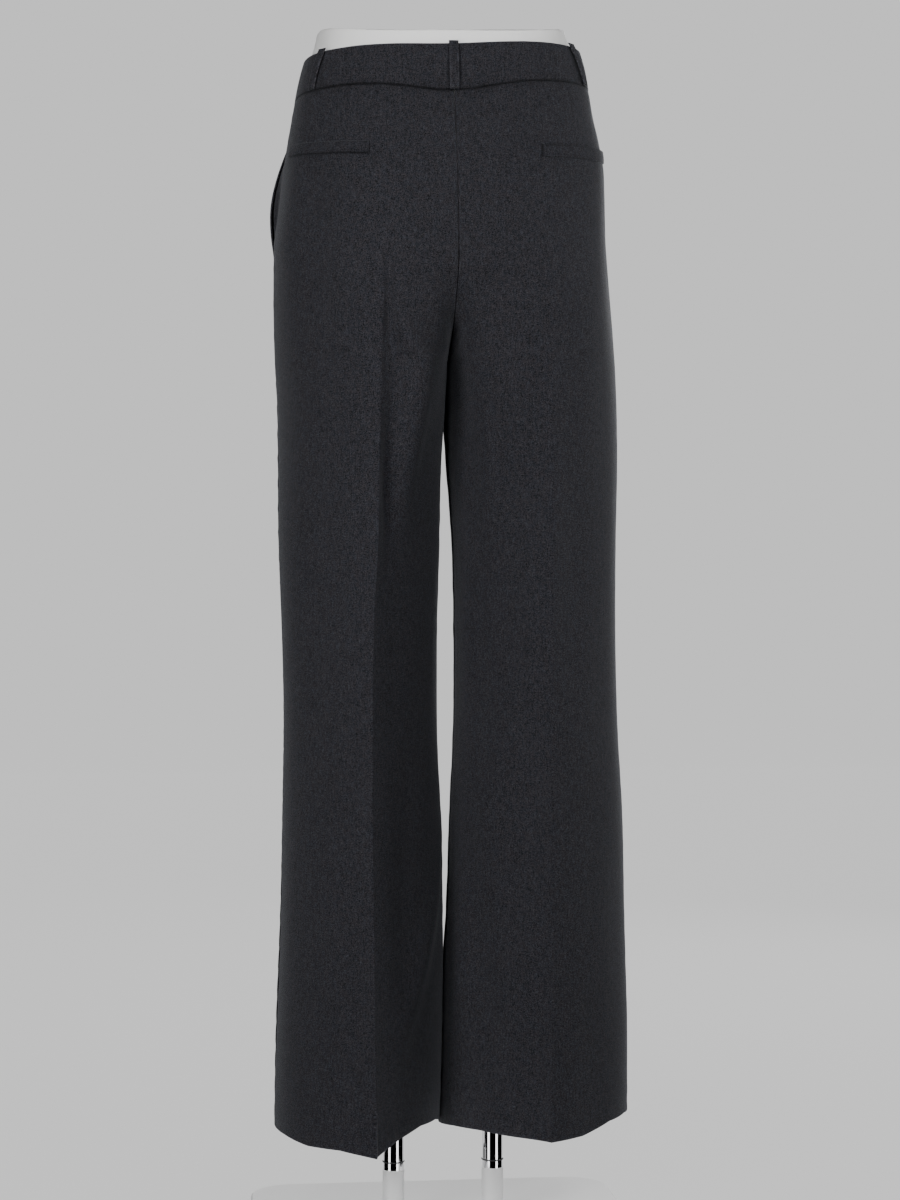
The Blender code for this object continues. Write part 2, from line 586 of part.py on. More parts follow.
def make_facings():
    heights = np.linspace(WAIST_SEAM - FACING_SHORT, POCKET_END + FACING_STOP, 8)
    for side, name in ((1, "left"), (-1, "right")):
        middle = facing_middle(side, heights)
        normal = wall_normals(middle, side)
        shell("pocket_facing_" + name, middle + normal * CLOTH / 2,
              middle - normal * CLOTH / 2, wool("pocket_facing_" + name))


def between(grid, rows, columns):
    """Points of a grid at fractional rows and columns."""
    row = np.clip(np.floor(rows).astype(int), 0, grid.shape[0] - 2)
    col = np.clip(np.floor(columns).astype(int), 0, grid.shape[1] - 2)
    down, over = (rows - row)[..., None], (columns - col)[..., None]
    upper = (1 - over) * grid[row, col] + over * grid[row, col + 1]
    lower = (1 - over) * grid[row + 1, col] + over * grid[row + 1, col + 1]
    return (1 - down) * upper + down * lower


def make_welts():
    """Each welt lies on its panel's own facets, moved out."""
    heights = panel_heights()
    for side, name in ((1, "left"), (-1, "right")):
        middle, along = back_middle(side, heights)
        normal = wall_normals(middle, -side)
        row = int(np.argmin(np.abs(heights - WELT_TOP)))
        count = np.arange(middle.shape[1])
        first, last = np.interp((WELT_FROM, WELT_TO), along[row], count)
        kept = count[(count > first + 0.15) & (count < last - 0.15)]
        columns = np.concatenate([[first], kept, [last]])
        share = (WELT_TO - np.interp(columns, count, along[row])) / (WELT_TO - WELT_FROM)
        drops = np.array([0.0, WELT_TALL / 2, WELT_TALL])[:, None]
        z = WELT_TOP - drops + WELT_RISE * share[None, :]
        rows = np.interp(-z, -heights, np.arange(len(heights)))
        columns = np.broadcast_to(columns, rows.shape)
        out = between(normal, rows, columns)
        low = between(middle, rows, columns) + out * (CLOTH / 2 + LAID_ON)
        shell("welt_back_" + name, low + out * CLOTH, low, wool("welt_back_" + name))


def make_waistbands():
    left_out = band_ring(1, BAND_ROWS, BAND_DIPS_BACK, BAND_DIPS_FRONT, 0.0, GAP / 2, GAP)
    left_in = band_ring(1, BAND_ROWS, BAND_DIPS_BACK, BAND_DIPS_FRONT, -BAND_WALL, GAP / 2, GAP)
    shell("waistband_left", left_out, left_in, wool("waistband_left"))
    right_out = band_ring(-1, BAND_ROWS, BAND_DIPS_BACK, BAND_DIPS_FRONT, 0.0, GAP / 2, TAB_RAMP)
    right_in = band_ring(-1, BAND_ROWS, BAND_DIPS_BACK, BAND_DIPS_FRONT, -BAND_WALL, GAP / 2, TAB_RAMP)
    outer_tab, inner_tab = tab_points()
    right_out = np.concatenate([right_out, outer_tab], axis=1)
    right_in = np.concatenate([right_in, inner_tab], axis=1)
    shell("waistband_right", right_out, right_in, wool("waistband_right"))


def tab_points():
    """The end of the right waistband: it steps out and laps over the left one."""
    reach = np.linspace(-TAB_START, TAB_LONG, 5)
    grids = []
    for layer in (0.0, -BAND_WALL):
        out = np.full((3, 5), layer + TAB_LIFT)
        grid = np.empty((3, 5, 3))
        for j, x in enumerate(reach):
            side = 1 if x > 0 else -1
            outline_x, outline_y = outline(side, -1, BAND_ROWS)
            total = lengths(outline_x, outline_y)[:, -1:]
            grid[:, j] = place(side, -1, BAND_ROWS, total - abs(x), out[:, j:j + 1])[:, 0]
        grid[..., 2] -= np.array(BAND_DIPS_FRONT)[:, None] + WAIST_TILT * grid[..., 0]
        grids.append(grid)
    return grids


def loop_strip(name, side, face, places):
    """A belt loop: held at both ends, standing off the band between them.
    Its places are the distances of its bottom and top from the middle plane."""
    share = np.linspace(0.0, 1.0, 9)
    low, high = WAIST_SEAM + LOOP_SEAT, BAND_TOP + LOOP_ABOVE
    heights = low + (high - low) * share
    stand = LOOP_STAND_OFF * np.sin(pi * share) ** 0.6 + LAID_ON
    outline_x, outline_y = outline(side, face, heights)
    run = lengths(outline_x, outline_y)
    order = np.abs(outline_x)
    apart = places[0] + (places[1] - places[0]) * share
    centre = np.array([np.interp(apart[i], order[i][::-1], run[i][::-1]) for i in range(len(heights))])
    middle = place(side, face, heights, centre[:, None], stand[:, None])[:, 0]
    out = place(side, face, heights, centre[:, None], stand[:, None] + 1.0)[:, 0] - middle
    across = np.cross(out, (0.0, 0.0, 1.0))
    across /= np.linalg.norm(across, axis=1, keepdims=True)
    dips = (BACK_DIP_SEAM + (BACK_DIP_TOP - BACK_DIP_SEAM) * share,
            FRONT_DIP_SEAM + (FRONT_DIP_TOP - FRONT_DIP_SEAM) * share)
    middle[:, 2] += waist_dip(middle[:, 0], middle[:, 1], dips[0], dips[1])
    half = across * LOOP_WIDE / 2
    inner = np.stack([middle - half, middle, middle + half], axis=1)
    return shell(name, inner + out[:, None, :] * LOOP_THICK, inner, wool(name))


def make_loops():
    loop_strip("belt_loop_back", 1, 1, (0.0, 0.0))
    for side, name in ((1, "left"), (-1, "right")):
        loop_strip("belt_loop_side_" + name, side, 1, SIDE_LOOP_AT[side])
        loop_strip("belt_loop_front_" + name, side, -1, FRONT_LOOP_AT)


def make_fly_shield():
    """The strip behind the front opening, across both front panels."""
    heights = np.linspace(WAIST_SEAM - FLY_SHORT, WAIST_SEAM - FLY_LONG, 7)
    reach = np.array([-0.5, -0.25, 0.0, 0.25, 0.5]) * FLY_WIDE
    grid = np.empty((len(heights), len(reach), 3))
    inward = -(CLOTH + LAID_ON + PLEAT_SINK)
    for j, x in enumerate(reach):
        side = 1 if x >= 0 else -1
        outline_x, outline_y = outline(side, -1, heights)
        total = lengths(outline_x, outline_y)[:, -1:]
        out = np.full((len(heights), 1), inward)
        grid[:, j] = place(side, -1, heights, total - max(abs(x), 1e-4), out)[:, 0]
    seam_drop(grid, heights)
    inside = grid + np.array((0.0, CLOTH, 0.0))
    shell("fly_shield", grid, inside, wool("fly_shield"))


# ----------------------------------------------------------- hard pieces
def disc(name, radius, low, high, centre, sides, material):
    """An upright round bar with flat ends."""
    angles = np.linspace(0.0, 2 * pi, sides, endpoint=False)
    ring = np.stack([centre[0] + radius * np.cos(angles), centre[1] + radius * np.sin(angles)], axis=1)
    points = [(*p, low) for p in ring] + [(*p, high) for p in ring]
    faces = [tuple(range(sides - 1, -1, -1)), tuple(range(sides, 2 * sides))]
    for i in range(sides):
        j = (i + 1) % sides
        faces.append((i, j, sides + j, sides + i))
    return add_object(name, points, faces, material)


def make_button():
    """A four-hole button with a raised rim, facing the front on the tab."""
    heights = (WAIST_SEAM + BAND_TOP) / 2 + BUTTON_RADIUS * np.array([-1.0, 0.0, 1.0])
    outline_x, outline_y = outline(1, -1, heights)
    total = lengths(outline_x, outline_y)[:, -1:]
    reach = total - BUTTON_PLACE + BUTTON_RADIUS * np.array([[-1.0, 0.0, 1.0]])
    around = place(1, -1, heights, reach, np.full((3, 3), TAB_LIFT + LAID_ON))
    seat = around[1, 1]
    seat[2] -= (FRONT_DIP_SEAM + FRONT_DIP_TOP) / 2 + WAIST_TILT * seat[0]
    face_out = np.cross(around[2, 1] - around[0, 1], around[1, 2] - around[1, 0])
    face_out /= np.linalg.norm(face_out)
    face_out *= -np.sign(face_out[1])
    sides = BUTTON_SIDES
    angles = np.linspace(0.0, 2 * pi, sides, endpoint=False)
    up = np.array((0.0, 0.0, 1.0))
    across = np.cross(up, face_out)
    across /= np.linalg.norm(across)
    up = np.cross(face_out, across)
    points = [seat + face_out * BUTTON_THICK]
    for radius, height in BUTTON_PROFILE:
        for angle in angles:
            spoke = across * np.cos(angle) + up * np.sin(angle)
            points.append(seat + spoke * radius * BUTTON_RADIUS + face_out * height * BUTTON_THICK)
    points.append(seat.copy())
    faces = [(0, 1 + i, 1 + (i + 1) % sides) for i in range(sides)]
    for ring in range(len(BUTTON_PROFILE) - 1):
        base = 1 + ring * sides
        for i in range(sides):
            j = (i + 1) % sides
            faces.append((base + i, base + sides + i, base + sides + j, base + j))
    last = 1 + (len(BUTTON_PROFILE) - 1) * sides
    faces += [(len(points) - 1, last + (i + 1) % sides, last + i) for i in range(sides)]
    button = add_object("waist_button", points, faces, make_material("horn", (0.02, 0.018, 0.017), 0.35))
    for across_way in (-1, 1):
        for up_way in (-1, 1):
            spot = seat + across * across_way * BUTTON_HOLE_PLACE + up * up_way * BUTTON_HOLE_PLACE
            cut_hole(button, spot, face_out)


def cut_hole(body, spot, direction):
    """A round hole through a button, cut by a thin bar that isn't kept."""
    sides = 6
    helper = np.array((1.0, 0.0, 0.0)) if abs(direction[0]) < 0.7 else np.array((0.0, 1.0, 0.0))
    across = np.cross(direction, helper)
    across /= np.linalg.norm(across)
    other = np.cross(direction, across)
    points = []
    for reach in (-0.01, 0.01):
        for i in range(sides):
            angle = 2 * pi * i / sides
            spoke = across * np.cos(angle) + other * np.sin(angle)
            points.append(spot + spoke * BUTTON_HOLE + direction * reach)
    faces = [tuple(range(sides - 1, -1, -1)), tuple(range(sides, 2 * sides))]
    faces += [(i, (i + 1) % sides, sides + (i + 1) % sides, sides + i) for i in range(sides)]
    cutter = add_object("button_hole_cutter", points, faces, body.data.materials[0])
    cutter.hide_render = True
    cutter.display_type = "WIRE"
    modifier = body.modifiers.new("hole", "BOOLEAN")
    modifier.operation = "DIFFERENCE"
    modifier.object = cutter


def form_top(below):
    """The top ring of the hip block: the ring below, drawn in to the top's sizes."""
    deep = np.where(below[:, 1] > 0, FORM_TOP_DEEP[1], FORM_TOP_DEEP[-1])
    size = np.abs(below[:, 0] / FORM_TOP_WIDE) ** HIP_POWER + np.abs(below[:, 1] / deep) ** HIP_POWER
    across, along = (below[:, :2] / size[:, None] ** (1 / HIP_POWER)).T
    x = FORM_TOP_SHIFT + across
    lift = FORM_END_LIFT * np.abs(across / FORM_TOP_WIDE) ** FORM_END_POWER
    return np.stack([x, along, FORM_TOP + lift - FORM_TOP_TILT * x], axis=1)


def make_form():
    """A plain hip block inside the trousers: snug at the band, clear below it."""
    material = make_material("form_white", (0.76, 0.76, 0.75), 0.45)
    rings = []
    for height, clear, edge, scale in FORM_RINGS:
        rows = np.array([height])
        dip_back, dip_front, tilt = [0.0], [0.0], 0.0
        if edge is not None:
            tilt = WAIST_TILT
            dip_back = [BACK_DIP_TOP + (BACK_DIP_SEAM - BACK_DIP_TOP) * edge]
            dip_front = [FRONT_DIP_TOP + (FRONT_DIP_SEAM - FRONT_DIP_TOP) * edge]
        left = band_ring(1, rows, dip_back, dip_front, -clear, tilt=tilt)[0]
        right = band_ring(-1, rows, dip_back, dip_front, -clear, tilt=tilt)[0]
        ring = np.concatenate([left, right[-2:0:-1]])
        ring[0, 0] = ring[len(left) - 1, 0] = 0.0
        ring[:, :2] *= scale
        rings.append(ring)
    rings.insert(0, form_top(rings[0]))
    count = len(rings[0])
    points = np.concatenate(rings)
    faces = [tuple(range(count)), tuple((len(rings) - 1) * count + i for i in range(count - 1, -1, -1))]
    for ring in range(len(rings) - 1):
        for i in range(count):
            j = (i + 1) % count
            base = ring * count
            faces.append((base + i, base + count + i, base + count + j, base + j))
    add_object("hip_form", points, faces, material)


def make_stand():
    chrome = make_material("chrome", (0.80, 0.80, 0.81), 0.08, 1.0)
    paint = make_material("powder_coat", (0.70, 0.70, 0.70), 0.50)
    for side, name in ((1, "left"), (-1, "right")):
        centre = (side * POLE_APART / 2, 0.0)
        disc("pole_" + name, POLE_RADIUS, SOCKET_TOP + GAP, FORM_BOTTOM - GAP, centre, 32, chrome)
        disc("pole_socket_" + name, SOCKET_RADIUS, PLATE_THICK + GAP, SOCKET_TOP, centre, 32, paint)
    corner_turns = np.radians(np.linspace(0.0, 90.0, 7))
    ring = []
    for quarter, (sx, sy) in enumerate(((1, 1), (-1, 1), (-1, -1), (1, -1))):
        for turn in corner_turns + quarter * pi / 2:
            x = sx * (PLATE_WIDE / 2 - PLATE_CORNER) + PLATE_CORNER * np.cos(turn)
            y = sy * (PLATE_DEEP / 2 - PLATE_CORNER) + PLATE_CORNER * np.sin(turn)
            ring.append((x, y))
    count = len(ring)
    points = [(*p, 0.0) for p in ring] + [(*p, PLATE_THICK - PLATE_BEVEL) for p in ring]
    shrink = 1.0 - 2 * PLATE_BEVEL / PLATE_WIDE
    points += [(p[0] * shrink, p[1] * shrink, PLATE_THICK) for p in ring]
    faces = [tuple(range(count - 1, -1, -1)), tuple(range(2 * count, 3 * count))]
    for layer in (0, count):
        for i in range(count):
            j = (i + 1) % count
            faces.append((layer + i, layer + j, layer + count + j, layer + count + i))
    add_object("base_plate", points, faces, paint)


def main():
    for leftover in list(bpy.data.objects):
        bpy.data.objects.remove(leftover, do_unlink=True)
    make_panels()
    make_facings()
    make_welts()
    make_waistbands()
    make_loops()
    make_fly_shield()
    make_button()
    make_form()
    make_stand()


main()
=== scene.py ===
# %% [markdown]
# # Pleated dress trousers on a hip form
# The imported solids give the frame: where every seam, edge and pole is.  This
# script dresses that frame.  The cloth is computed again as thin walls on much
# finer grids, with the soft folds, rolled seams and puckers that a rigid part
# doesn't need.  Hard pieces keep their solids and only get better materials.
# %% Load the frame
from math import cos, pi, radians, sin

import bpy
import numpy as np
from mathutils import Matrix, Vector


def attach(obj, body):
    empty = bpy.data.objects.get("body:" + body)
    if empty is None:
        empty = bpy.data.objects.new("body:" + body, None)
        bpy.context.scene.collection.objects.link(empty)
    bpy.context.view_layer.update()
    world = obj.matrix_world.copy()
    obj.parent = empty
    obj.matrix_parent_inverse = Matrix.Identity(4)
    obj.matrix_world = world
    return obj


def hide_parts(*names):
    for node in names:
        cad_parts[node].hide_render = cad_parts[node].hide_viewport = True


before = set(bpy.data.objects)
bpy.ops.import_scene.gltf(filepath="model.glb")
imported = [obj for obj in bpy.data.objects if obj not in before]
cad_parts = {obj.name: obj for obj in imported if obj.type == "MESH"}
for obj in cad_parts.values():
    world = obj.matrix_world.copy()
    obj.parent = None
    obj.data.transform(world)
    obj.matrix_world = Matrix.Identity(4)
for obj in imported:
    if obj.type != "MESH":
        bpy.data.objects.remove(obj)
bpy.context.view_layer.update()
print("nodes in the frame:", len(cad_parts))

# %% [markdown]
# ## Sizes
# The same named sizes and tables as in the solids, because each visible piece
# has to lie where its solid lies.  Metres; the wearer's left is +X, the back of
# the garment is +Y, and side and face are 1 or -1 in that sense.
# %% Sizes
GAP = 0.0003
CLOTH = 0.0012
BAND_WALL = 0.0030
LAID_ON = 0.0006
BAND_TOP = 1.119
WAIST_SEAM = 1.082
CROTCH = 0.825
HEM = 0.100
HEM_TURN = 0.040
RISE_TOP = {1: 0.935, -1: 0.905}
LEG_BLEND = (0.955, 0.865)
INNER_PRESS = (0.830, 0.670)
HIP_POWER = 2.4
INNER_CURVE = 0.7

SEAM_DIP = {"back": 0.011, "front": 0.010}
TOP_DIP = {"back": 0.003, "front": 0.009}
WAIST_TILT = 0.045
BACK_DIP_WIDTH = 0.055
FRONT_DIP_FROM = 0.035
FRONT_DIP_RUN = 0.115
DIP_FADE = 0.060

PLEAT_BEND = 0.00088
PLEAT_SINK = 0.0012
PLEAT_SPREAD = 0.045
PLEAT_OPEN_STEP = 0.012
PLEAT_MARGIN = 0.006
PLEAT_FADE = 0.200

POCKET_SLANT = 0.034
POCKET_END = 0.917
POCKET_UNDERLAP = 0.008
GAPE = {1: 0.0090, -1: 0.0035}
GAPE_REACH = 0.028

WELT_TOP = 1.0205
WELT_TALL = 0.012
WELT_RISE = 0.007
WELT_FROM = 0.036
WELT_TO = 0.134

LOOP_WIDE = 0.0088
LOOP_THICK = 0.0016
LOOP_STAND_OFF = 0.0022
LOOP_ABOVE = 0.0023
LOOP_SEAT = 0.0006
LOOP_COLUMNS = ("name", "side", "face", "bottom_at", "top_at")
LOOPS = (
    ("back", 1, 1, 0.0, 0.0),
    ("side_left", 1, 1, 0.1282, 0.1176),
    ("side_right", -1, 1, 0.1291, 0.1140),
    ("front_left", 1, -1, 0.082, 0.082),
    ("front_right", -1, -1, 0.082, 0.082),
)

TAB_LONG = 0.034
TAB_LIFT = 0.0038
TAB_RAMP = 0.014
TAB_START = 0.002
BUTTON_PLACE = 0.018
BUTTON_RADIUS = 0.0075
FLY_WIDE = 0.036
FLY_LONG = 0.165
FLY_SHORT = 0.002

FORM_TOP = 1.1299
FORM_TOP_WIDE = 0.1185
FORM_TOP_DEEP = {1: 0.0795, -1: 0.0745}
FORM_TOP_SHIFT = 0.0026
FORM_TOP_TILT = 0.023
FORM_END_LIFT = 0.0134
FORM_END_POWER = 3.3
FORM_BOTTOM = 0.930
FORM_CLEAR_BAND = 0.0004
FORM_CLEAR_CLOTH = 0.0060

ROLL = 0.0006          # radius of a cloth edge that turns into a seam
THREAD = 0.00028       # thickness of the sewing thread
UP = np.array((0.0, 0.0, 1.0))
ARC_STEPS = 240        # points of an outline, from the side seam to the crease

# %% [markdown]
# ## Tables of the form
# HIP is the loop round the hips, LEG_LEFT and LEG_RIGHT are the pressed legs.
# FOLDS are the soft ridges and troughs: where each starts and ends (places are
# 0 at the side seam, 1 at the crease, 2 at the centre seam), how far it reaches
# towards the side and towards the centre, and how high it stands.  They are
# uneven in length and depth.
# %% Tables of the form
HIP_COLUMNS = ("height", "left", "right", "back", "front")
HIP = (
    (0.860, 0.1615, 0.1600, 0.1250, 0.1160),
    (0.890, 0.1617, 0.1588, 0.1270, 0.1175),
    (0.915, 0.1618, 0.1570, 0.1280, 0.1180),
    (0.940, 0.1612, 0.1552, 0.1270, 0.1170),
    (0.966, 0.1580, 0.1545, 0.1235, 0.1145),
    (0.990, 0.1552, 0.1540, 0.1190, 0.1110),
    (1.014, 0.1525, 0.1530, 0.1130, 0.1070),
    (1.038, 0.1490, 0.1485, 0.1065, 0.1020),
    (1.060, 0.1460, 0.1430, 0.1005, 0.0970),
    (1.082, 0.1425, 0.1395, 0.0945, 0.0915),
    (1.105, 0.1375, 0.1350, 0.0890, 0.0860),
    (1.119, 0.1340, 0.1315, 0.0860, 0.0830),
    (1.130, 0.1310, 0.1285, 0.0835, 0.0805),
)
LEG_COLUMNS = ("height", "side", "inseam", "crease", "back", "front", "sharp", "square")
LEG_LEFT = (
    (0.100, 0.1610, 0.0048, 0.0755, 0.1340, 0.1240, 0.88, 2.0),
    (0.200, 0.1590, 0.0017, 0.0760, 0.1280, 0.1200, 0.87, 2.0),
    (0.250, 0.1575, 0.0006, 0.0765, 0.1245, 0.1180, 0.865, 2.0),
    (0.300, 0.1560, 0.0006, 0.0770, 0.1210, 0.1160, 0.86, 2.0),
    (0.400, 0.1540, 0.0030, 0.0775, 0.1160, 0.1120, 0.85, 2.0),
    (0.480, 0.1530, 0.0064, 0.0775, 0.1135, 0.1090, 0.84, 2.0),
    (0.560, 0.1545, 0.0066, 0.0765, 0.1125, 0.1080, 0.82, 2.0),
    (0.654, 0.1575, 0.0042, 0.0725, 0.1130, 0.1090, 0.78, 2.1),
    (0.740, 0.1580, 0.0022, 0.0710, 0.1150, 0.1100, 0.66, 2.6),
    (0.790, 0.1590, 0.0008, 0.0705, 0.1175, 0.1120, 0.52, 3.2),
    (0.825, 0.1608, 0.0002, 0.0700, 0.1200, 0.1140, 0.48, 3.6),
    (0.860, 0.1616, 0.0002, 0.0690, 0.1235, 0.1165, 0.42, 4.0),
    (0.900, 0.1617, 0.0002, 0.0680, 0.1260, 0.1175, 0.30, 4.2),
    (0.950, 0.1600, 0.0002, 0.0670, 0.1265, 0.1170, 0.10, 4.0),
)
LEG_RIGHT = (
    (0.100, 0.1780, -0.0040, 0.0880, 0.1090, 0.1240, 0.64, 2.0),
    (0.200, 0.1774, -0.0010, 0.0885, 0.1090, 0.1200, 0.63, 2.0),
    (0.250, 0.1758, 0.0000, 0.0888, 0.1090, 0.1180, 0.625, 2.0),
    (0.300, 0.1745, 0.0032, 0.0890, 0.1090, 0.1160, 0.62, 2.0),
    (0.400, 0.1728, 0.0066, 0.0890, 0.1090, 0.1120, 0.62, 2.0),
    (0.480, 0.1684, 0.0100, 0.0890, 0.1090, 0.1090, 0.62, 2.0),
    (0.560, 0.1664, 0.0106, 0.0890, 0.1090, 0.1080, 0.62, 2.0),
    (0.654, 0.1664, 0.0092, 0.0890, 0.1100, 0.1090, 0.60, 2.1),
    (0.740, 0.1674, 0.0035, 0.0885, 0.1125, 0.1100, 0.54, 2.3),
    (0.790, 0.1664, 0.0010, 0.0880, 0.1150, 0.1120, 0.48, 2.8),
    (0.825, 0.1648, 0.0002, 0.0875, 0.1175, 0.1140, 0.42, 3.3),
    (0.860, 0.1622, 0.0002, 0.0870, 0.1210, 0.1165, 0.34, 3.6),
    (0.900, 0.1588, 0.0002, 0.0860, 0.1235, 0.1175, 0.22, 4.0),
    (0.950, 0.1545, 0.0002, 0.0850, 0.1240, 0.1170, 0.08, 4.0),
)
FOLD_SPAN = 0.11
FOLD_COLUMNS = ("side", "face", "top", "top_place", "bottom", "bottom_place", "to_side", "to_centre", "rise")
FOLDS = (
    (1, 1, 0.965, 1.055, 0.590, 1.130, 0.0080, 0.0085, -0.0108),
    (1, 1, 0.930, 1.220, 0.620, 1.290, 0.0085, 0.0090, 0.0042),
    (1, 1, 0.930, 1.560, 0.640, 1.420, 0.0200, 0.0180, -0.0026),
    (-1, 1, 0.920, 1.580, 0.640, 1.460, 0.0180, 0.0180, -0.0022),
    (1, 1, 1.110, 0.580, 0.740, 0.600, 0.0240, 0.0170, -0.0052),
    (1, 1, 0.880, 0.500, 0.300, 0.560, 0.0150, 0.0150, -0.0020),
    (1, 1, 0.860, 0.800, 0.380, 0.860, 0.0110, 0.0090, 0.0014),
    (1, 1, 0.430, 2.020, 0.110, 1.030, 0.0120, 0.0110, 0.0040),
    (1, 1, 0.560, 1.500, 0.160, 1.200, 0.0140, 0.0140, -0.0022),
    (-1, 1, 0.880, 1.420, 0.620, 1.440, 0.0130, 0.0120, 0.0034),
    (-1, 1, 0.480, 1.760, 0.060, 1.300, 0.0140, 0.0150, -0.0042),
    (-1, 1, 0.800, 1.640, 0.360, 1.600, 0.0160, 0.0150, -0.0030),
    (-1, 1, 0.760, 1.180, 0.420, 1.160, 0.0120, 0.0140, 0.0026),
    (-1, 1, 0.900, 0.860, 0.360, 0.820, 0.0120, 0.0120, -0.0018),
    (-1, 1, 0.420, 0.620, 0.100, 0.520, 0.0160, 0.0140, 0.0016),
    (1, -1, 0.700, 0.500, 0.360, 0.600, 0.0160, 0.0160, 0.0028),
    (-1, -1, 0.640, 0.450, 0.300, 0.580, 0.0160, 0.0160, 0.0028),
    (1, -1, 0.560, 1.500, 0.260, 1.450, 0.0180, 0.0180, -0.0024),
    (-1, -1, 0.600, 1.550, 0.340, 1.500, 0.0180, 0.0180, -0.0024),
)
HEM_PLACES = np.linspace(0.0, 2.0, 9)
HEM_COLUMNS = ("side", "face") + tuple("at_%.2f" % spot for spot in HEM_PLACES)
HEM_HANG = (
    (1, 1, 0.0010, 0.0007, -0.0023, -0.0002, -0.0033, 0.0075, 0.0127, 0.0110, 0.0026),
    (1, -1, 0.0010, 0.0010, 0.0010, 0.0010, 0.0010, 0.0014, 0.0020, 0.0024, 0.0026),
    (-1, 1, 0.0085, 0.0127, 0.0118, 0.0038, 0.0020, 0.0036, 0.0055, 0.0041, 0.0000),
    (-1, -1, 0.0085, 0.0075, 0.0060, 0.0040, 0.0020, 0.0020, 0.0015, 0.0008, 0.0000),
)
HEM_HANG_FADE = 0.220
PLEAT_COLUMNS = ("place", "depth", "shut_to", "end")
PLEATS = (
    (1.00, 0.0085, 1.020, 0.900),
    (0.52, 0.0065, 1.036, 0.950),
)

# %% [markdown]
# ## Outlines
# Each height has a horizontal outline.  On the hips it is a superellipse,
# |x / a|^n + |y / b|^n = 1.  On the legs each quarter runs between a round arc
# and a pressed parabola.  The two are mixed by height through an S curve.
# %% Outlines
def column(table, names, name, at):
    """A table column as a Hermite curve over its first column:
    v = v0 (1 + 2t)(1 - t)^2 + m0 t (1 - t)^2 + v1 t^2 (3 - 2t) + m1 t^2 (t - 1)."""
    rows = np.array(table)
    knots, values = rows[:, 0], rows[:, names.index(name)]
    slopes = np.gradient(values, knots)
    at = np.clip(at, knots[0], knots[-1])
    low = np.clip(np.searchsorted(knots, at) - 1, 0, len(knots) - 2)
    span = knots[low + 1] - knots[low]
    t = (at - knots[low]) / span
    start = values[low] * (1 + 2 * t) * (1 - t) ** 2 + slopes[low] * span * t * (1 - t) ** 2
    end = values[low + 1] * t ** 2 * (3 - 2 * t) + slopes[low + 1] * span * t ** 2 * (t - 1)
    return start + end


def ease(value):
    """S curve: 0 below 0, 1 above 1, 3v^2 - 2v^3 between."""
    value = np.clip(value, 0.0, 1.0)
    return value * value * (3.0 - 2.0 * value)


def outline(side, face, height):
    """Outlines at all heights at once, x and y, from the side seam over the
    crease to the centre seam or inseam."""
    z = np.asarray(height, float)[:, None]
    t = np.linspace(0.0, 1.0, ARC_STEPS + 1)[None, :]
    leg = LEG_LEFT if side > 0 else LEG_RIGHT
    depth = "back" if face > 0 else "front"
    crease = column(leg, LEG_COLUMNS, "crease", z)
    hip_wide = column(HIP, HIP_COLUMNS, "left" if side > 0 else "right", z)
    hip_deep = column(HIP, HIP_COLUMNS, depth, z)
    turn = np.arccos((crease / hip_wide) ** (HIP_POWER / 2))
    angle = np.hstack([turn * t, turn + (pi / 2 - turn) * t[:, 1:]])
    hip_x = hip_wide * np.abs(np.cos(angle)) ** (2 / HIP_POWER)
    hip_y = hip_deep * np.sin(angle) ** (2 / HIP_POWER)

    under = np.clip((RISE_TOP[face] - z) / (RISE_TOP[face] - CROTCH), 0.0, 1.0)
    seam_y = hip_deep * np.sqrt(1.0 - under ** 2)
    wide = column(leg, LEG_COLUMNS, "side", z) - crease
    inner = crease - column(leg, LEG_COLUMNS, "inseam", z)
    deep = column(leg, LEG_COLUMNS, depth, z)
    sharp = column(leg, LEG_COLUMNS, "sharp", z)
    square = column(leg, LEG_COLUMNS, "square", z)
    back = 1.0 - t[:, 1:]
    cut = np.clip(seam_y / deep, 0.0, 0.999) ** (square / 2)
    sweep = np.arcsin(cut) + (pi / 2 - np.arcsin(cut)) * ease(back)
    pressed = sharp * ease((INNER_PRESS[0] - z) / (INNER_PRESS[0] - INNER_PRESS[1]))
    outer_x = crease + wide * ((1 - sharp) * np.cos(pi / 2 * t) + sharp * (1 - t ** 2))
    outer_y = deep * ((1 - sharp) * np.sin(pi / 2 * t) + sharp * t)
    round_x = crease - inner * np.abs(np.cos(sweep)) ** (2 / square)
    round_x -= (round_x[:, -1:] - crease + inner) * (1.0 - back) ** 2
    round_y = deep * np.sin(sweep) ** (2 / square)
    bend = 2.0 - INNER_CURVE * back
    inner_x = (1 - pressed) * round_x + pressed * (crease - inner * (1 - back ** bend))
    inner_y = (1 - pressed) * round_y + pressed * deep * back

    blend = ease((LEG_BLEND[0] - z) / (LEG_BLEND[0] - LEG_BLEND[1]))
    x = (1 - blend) * hip_x + blend * np.hstack([outer_x, inner_x])
    y = (1 - blend) * hip_y + blend * np.hstack([outer_y, inner_y])
    return side * x, face * y


def lengths(*axes):
    """Length along each row of points: s_j = sum of |p_k - p_(k-1)| up to j."""
    steps = np.sqrt(sum(np.diff(axis, axis=1) ** 2 for axis in axes))
    return np.hstack([np.zeros((len(steps), 1)), np.cumsum(steps, axis=1)])


def whole_length(side, face, heights):
    """Length of each outline from the side seam to the centre, as a column."""
    return lengths(*outline(side, face, heights))[:, -1:]


def bell(distance, width):
    """exp(-(d / w)^2)."""
    return np.exp(-(distance / width) ** 2)


def unit(vectors):
    """v / |v| for each vector of an array."""
    return vectors / np.linalg.norm(vectors, axis=-1, keepdims=True)


